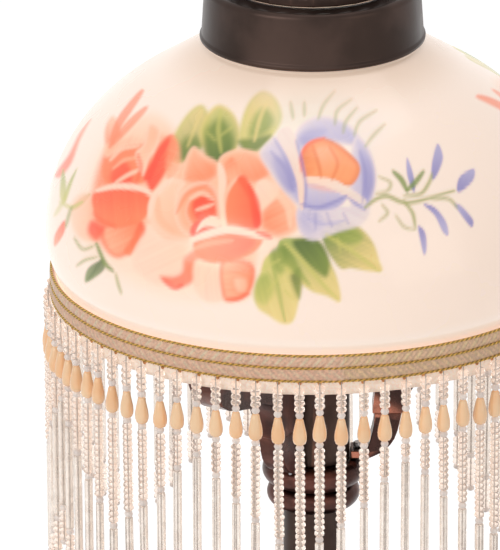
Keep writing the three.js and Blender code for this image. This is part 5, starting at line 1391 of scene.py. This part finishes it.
def bead_shape(kind):
    """Unit-height shapes, radius in metres: a barrel, a ball, a drop that is widest near its foot, a
    tube."""
    if kind == "seed":
        return small_turning([1.1 * MM, 1.8 * MM, 2.02 * MM, 1.8 * MM, 1.1 * MM],
                             [-0.48, -0.3, 0, 0.3, 0.48], 10)
    if kind == "white":
        a = np.radians([-68, -38, 0, 38, 68])
        return small_turning(1.62 * MM * np.cos(a), 0.49 * np.sin(a) / np.sin(a[-1]), 10)
    if kind == "drop":
        h = np.array([0.0, 0.05, 0.16, 0.3, 0.45, 0.62, 0.8, 0.95, 1.0])
        w = np.array([1.3, 2.15, 2.55, 2.62, 2.5, 2.15, 1.75, 1.45, 1.1])
        return small_turning(w * MM, h - 0.5, 12)
    return small_turning(np.array([0.8, 1.62, 1.66, 1.66, 1.62, 0.8]) * MM,
                         [-0.5, -0.496, -0.485, 0.485, 0.496, 0.5], 12)


def string_beads(name, kind, material, spread):
    """All beads of a kind in one mesh: shape * (1, 1, length), turned by a seeded angle about its own
    line and moved to its strand. A colour per bead varies by the spread."""
    mine = beads[beads[:, 1] == KINDS.index(kind)]
    shape, tris = bead_shape(kind)
    dice = np.random.default_rng(len(mine))
    spin = dice.uniform(0, 6.28, len(mine))[:, None]
    size = dice.uniform(0.95, 1.03, len(mine))[:, None]
    x = (shape[:, 0] * np.cos(spin) - shape[:, 1] * np.sin(spin)) * size
    y = (shape[:, 0] * np.sin(spin) + shape[:, 1] * np.cos(spin)) * size
    z = shape[:, 2] * mine[:, 3, None] + mine[:, 2, None]
    middle = hung_at(np.repeat(mine[:, 0, None], len(shape), axis=1), z)
    points = middle + np.stack([x, y, 0 * z], axis=-1)
    faces = (tris[None] + (np.arange(len(mine)) * len(shape))[:, None, None]).reshape(-1, 3)
    piece = piece_from(name, points.reshape(-1, 3), faces, 60, [material])
    level = 1 + spread * dice.uniform(-1, 0.4, (len(mine), 1, 1)) * np.array([0.9, 1.0, 1.1])
    coloured(piece, "level", np.broadcast_to(level, (len(mine), len(shape), 3)).reshape(-1, 3))
    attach(piece, "shade")
    print(f"{name}: {len(mine)} beads, {len(faces)} faces")
    return piece


# %% Bead finishes
def bead_finish(name, dark, light, scale, **sockets):
    """A bead finish: mottle times the bead's own level."""
    m, nodes, links, shader = fresh(name, **sockets)
    cloud = placed(m, MOTTLE, Scale=scale, First=dark, Second=light)
    links.new(times_own(nodes, links, cloud.outputs["Color"], "level"), shader.inputs["Base Color"])
    return m


# Each bead finish also gives off a little warm light, a painted glow for the lamp's light shining through
# the fringe.
SEED_GLASS = bead_finish("clear_seed_glass", tone(246, 232, 222), tone(255, 246, 238), 160,
                         Transmission_Weight=0.82, Roughness=0.08, IOR=1.42, Emission_Strength=0.1,
                         Emission_Color=tone(255, 236, 222))
WHITE_GLASS = bead_finish("frosted_white_glass", tone(236, 226, 220), tone(250, 242, 236), 120,
                          Transmission_Weight=0.3, Roughness=0.35, IOR=1.45, Emission_Strength=0.14,
                          Emission_Color=tone(250, 238, 232))
DROP_PEARL = bead_finish("peach_drop_enamel", tone(255, 200, 148), tone(255, 218, 176), 60,
                         Roughness=0.26, Coat_Weight=0.5, Emission_Strength=0.16,
                         Emission_Color=tone(255, 206, 156))
BUGLE_GLASS = bead_finish("satin_bugle_glass", tone(236, 224, 214), tone(254, 246, 238), 260,
                          Transmission_Weight=0.72, Roughness=0.16, IOR=1.48, Emission_Strength=0.1,
                          Emission_Color=tone(250, 238, 228))

# %% String the fringe
seeds = string_beads("fringe_clear_seeds", "seed", SEED_GLASS, 0.05)
string_beads("fringe_white_beads", "white", WHITE_GLASS, 0.03)
string_beads("fringe_peach_drops", "drop", DROP_PEARL, 0.04)
string_beads("fringe_bugles", "bugle", BUGLE_GLASS, 0.04)
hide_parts(*[f"fringe_panel_{k}" for k in range(1, 9)])


# %% Threads and stitches
def hanging_threads(radius=0.22 * MM, sides=5, rows=9):
    """One thin tube down each strand: the strand's line at rows heights, with a circle of that radius
    about it, from over the tape to the end bead."""
    feet = beads[:, 2] - beads[:, 3] / 2
    ends = np.array([feet[beads[:, 0] == s].min() for s in range(STRANDS)])
    f = np.linspace(0, 1, rows)[None, :]
    z = (HANG_TOP + 1.6 * MM) * (1 - f) + (ends[:, None] + 0.4 * MM) * f
    middle = hung_at(np.repeat(np.arange(STRANDS)[:, None], rows, axis=1), z)
    s = np.arange(sides) * 2 * math.pi / sides
    wall = radius * np.stack([np.cos(s), np.sin(s), 0 * s], axis=-1)
    points = (middle[:, :, None, :] + wall).reshape(-1, 3)
    one = grid_faces(rows, sides, False, True)[:, ::-1]
    faces = (one[None] + (np.arange(STRANDS) * rows * sides)[:, None, None]).reshape(-1, 4)
    caps = []
    for k in range(STRANDS):
        first = k * rows * sides
        caps.append(list(range(first, first + sides)))
        caps.append([first + (rows - 1) * sides + j for j in reversed(range(sides))])
    return points, faces.tolist() + caps


THREAD = cloth_of("sewing_thread", "dye_and_painted_light", rough=0.6, sheen=0.1)
threads = piece_from("fringe_threads", *hanging_threads(), 80, [THREAD])
coloured(threads, "dye_and_painted_light", np.tile(np.array(tone(206, 198, 192)[:3]), (len(threads.data.vertices), 1)))
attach(threads, "shade")


def stitch_knots(sides=8):
    """A small flat knot on the tape over each strand: a ball of radii 0.5, 0.75 and 0.8 mm, set in the
    tape's face."""
    a = np.radians([-65, -30, 0, 30, 65])
    shape, tris = small_turning(0.75 * MM * np.cos(a), 0.9 * MM * np.sin(a), sides)
    t = strand_angle[:, None]
    r = 99.45 * MM + shape[:, 0] * 0.7
    across = shape[:, 1]
    points = np.stack([r * np.sin(t) + across * np.cos(t), -r * np.cos(t) + across * np.sin(t),
                       243.7 * MM + shape[:, 2] + 0 * t], axis=-1)
    faces = (tris[None] + (np.arange(STRANDS) * len(shape))[:, None, None]).reshape(-1, 3)
    return points.reshape(-1, 3), faces


knots = piece_from("fringe_stitches", *stitch_knots(), 60, [THREAD])
coloured(knots, "dye_and_painted_light", np.tile(np.array(tone(226, 158, 96)[:3]), (len(knots.data.vertices), 1)))
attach(knots, "shade")
print("threads and stitches:", len(threads.data.polygons), len(knots.data.polygons))
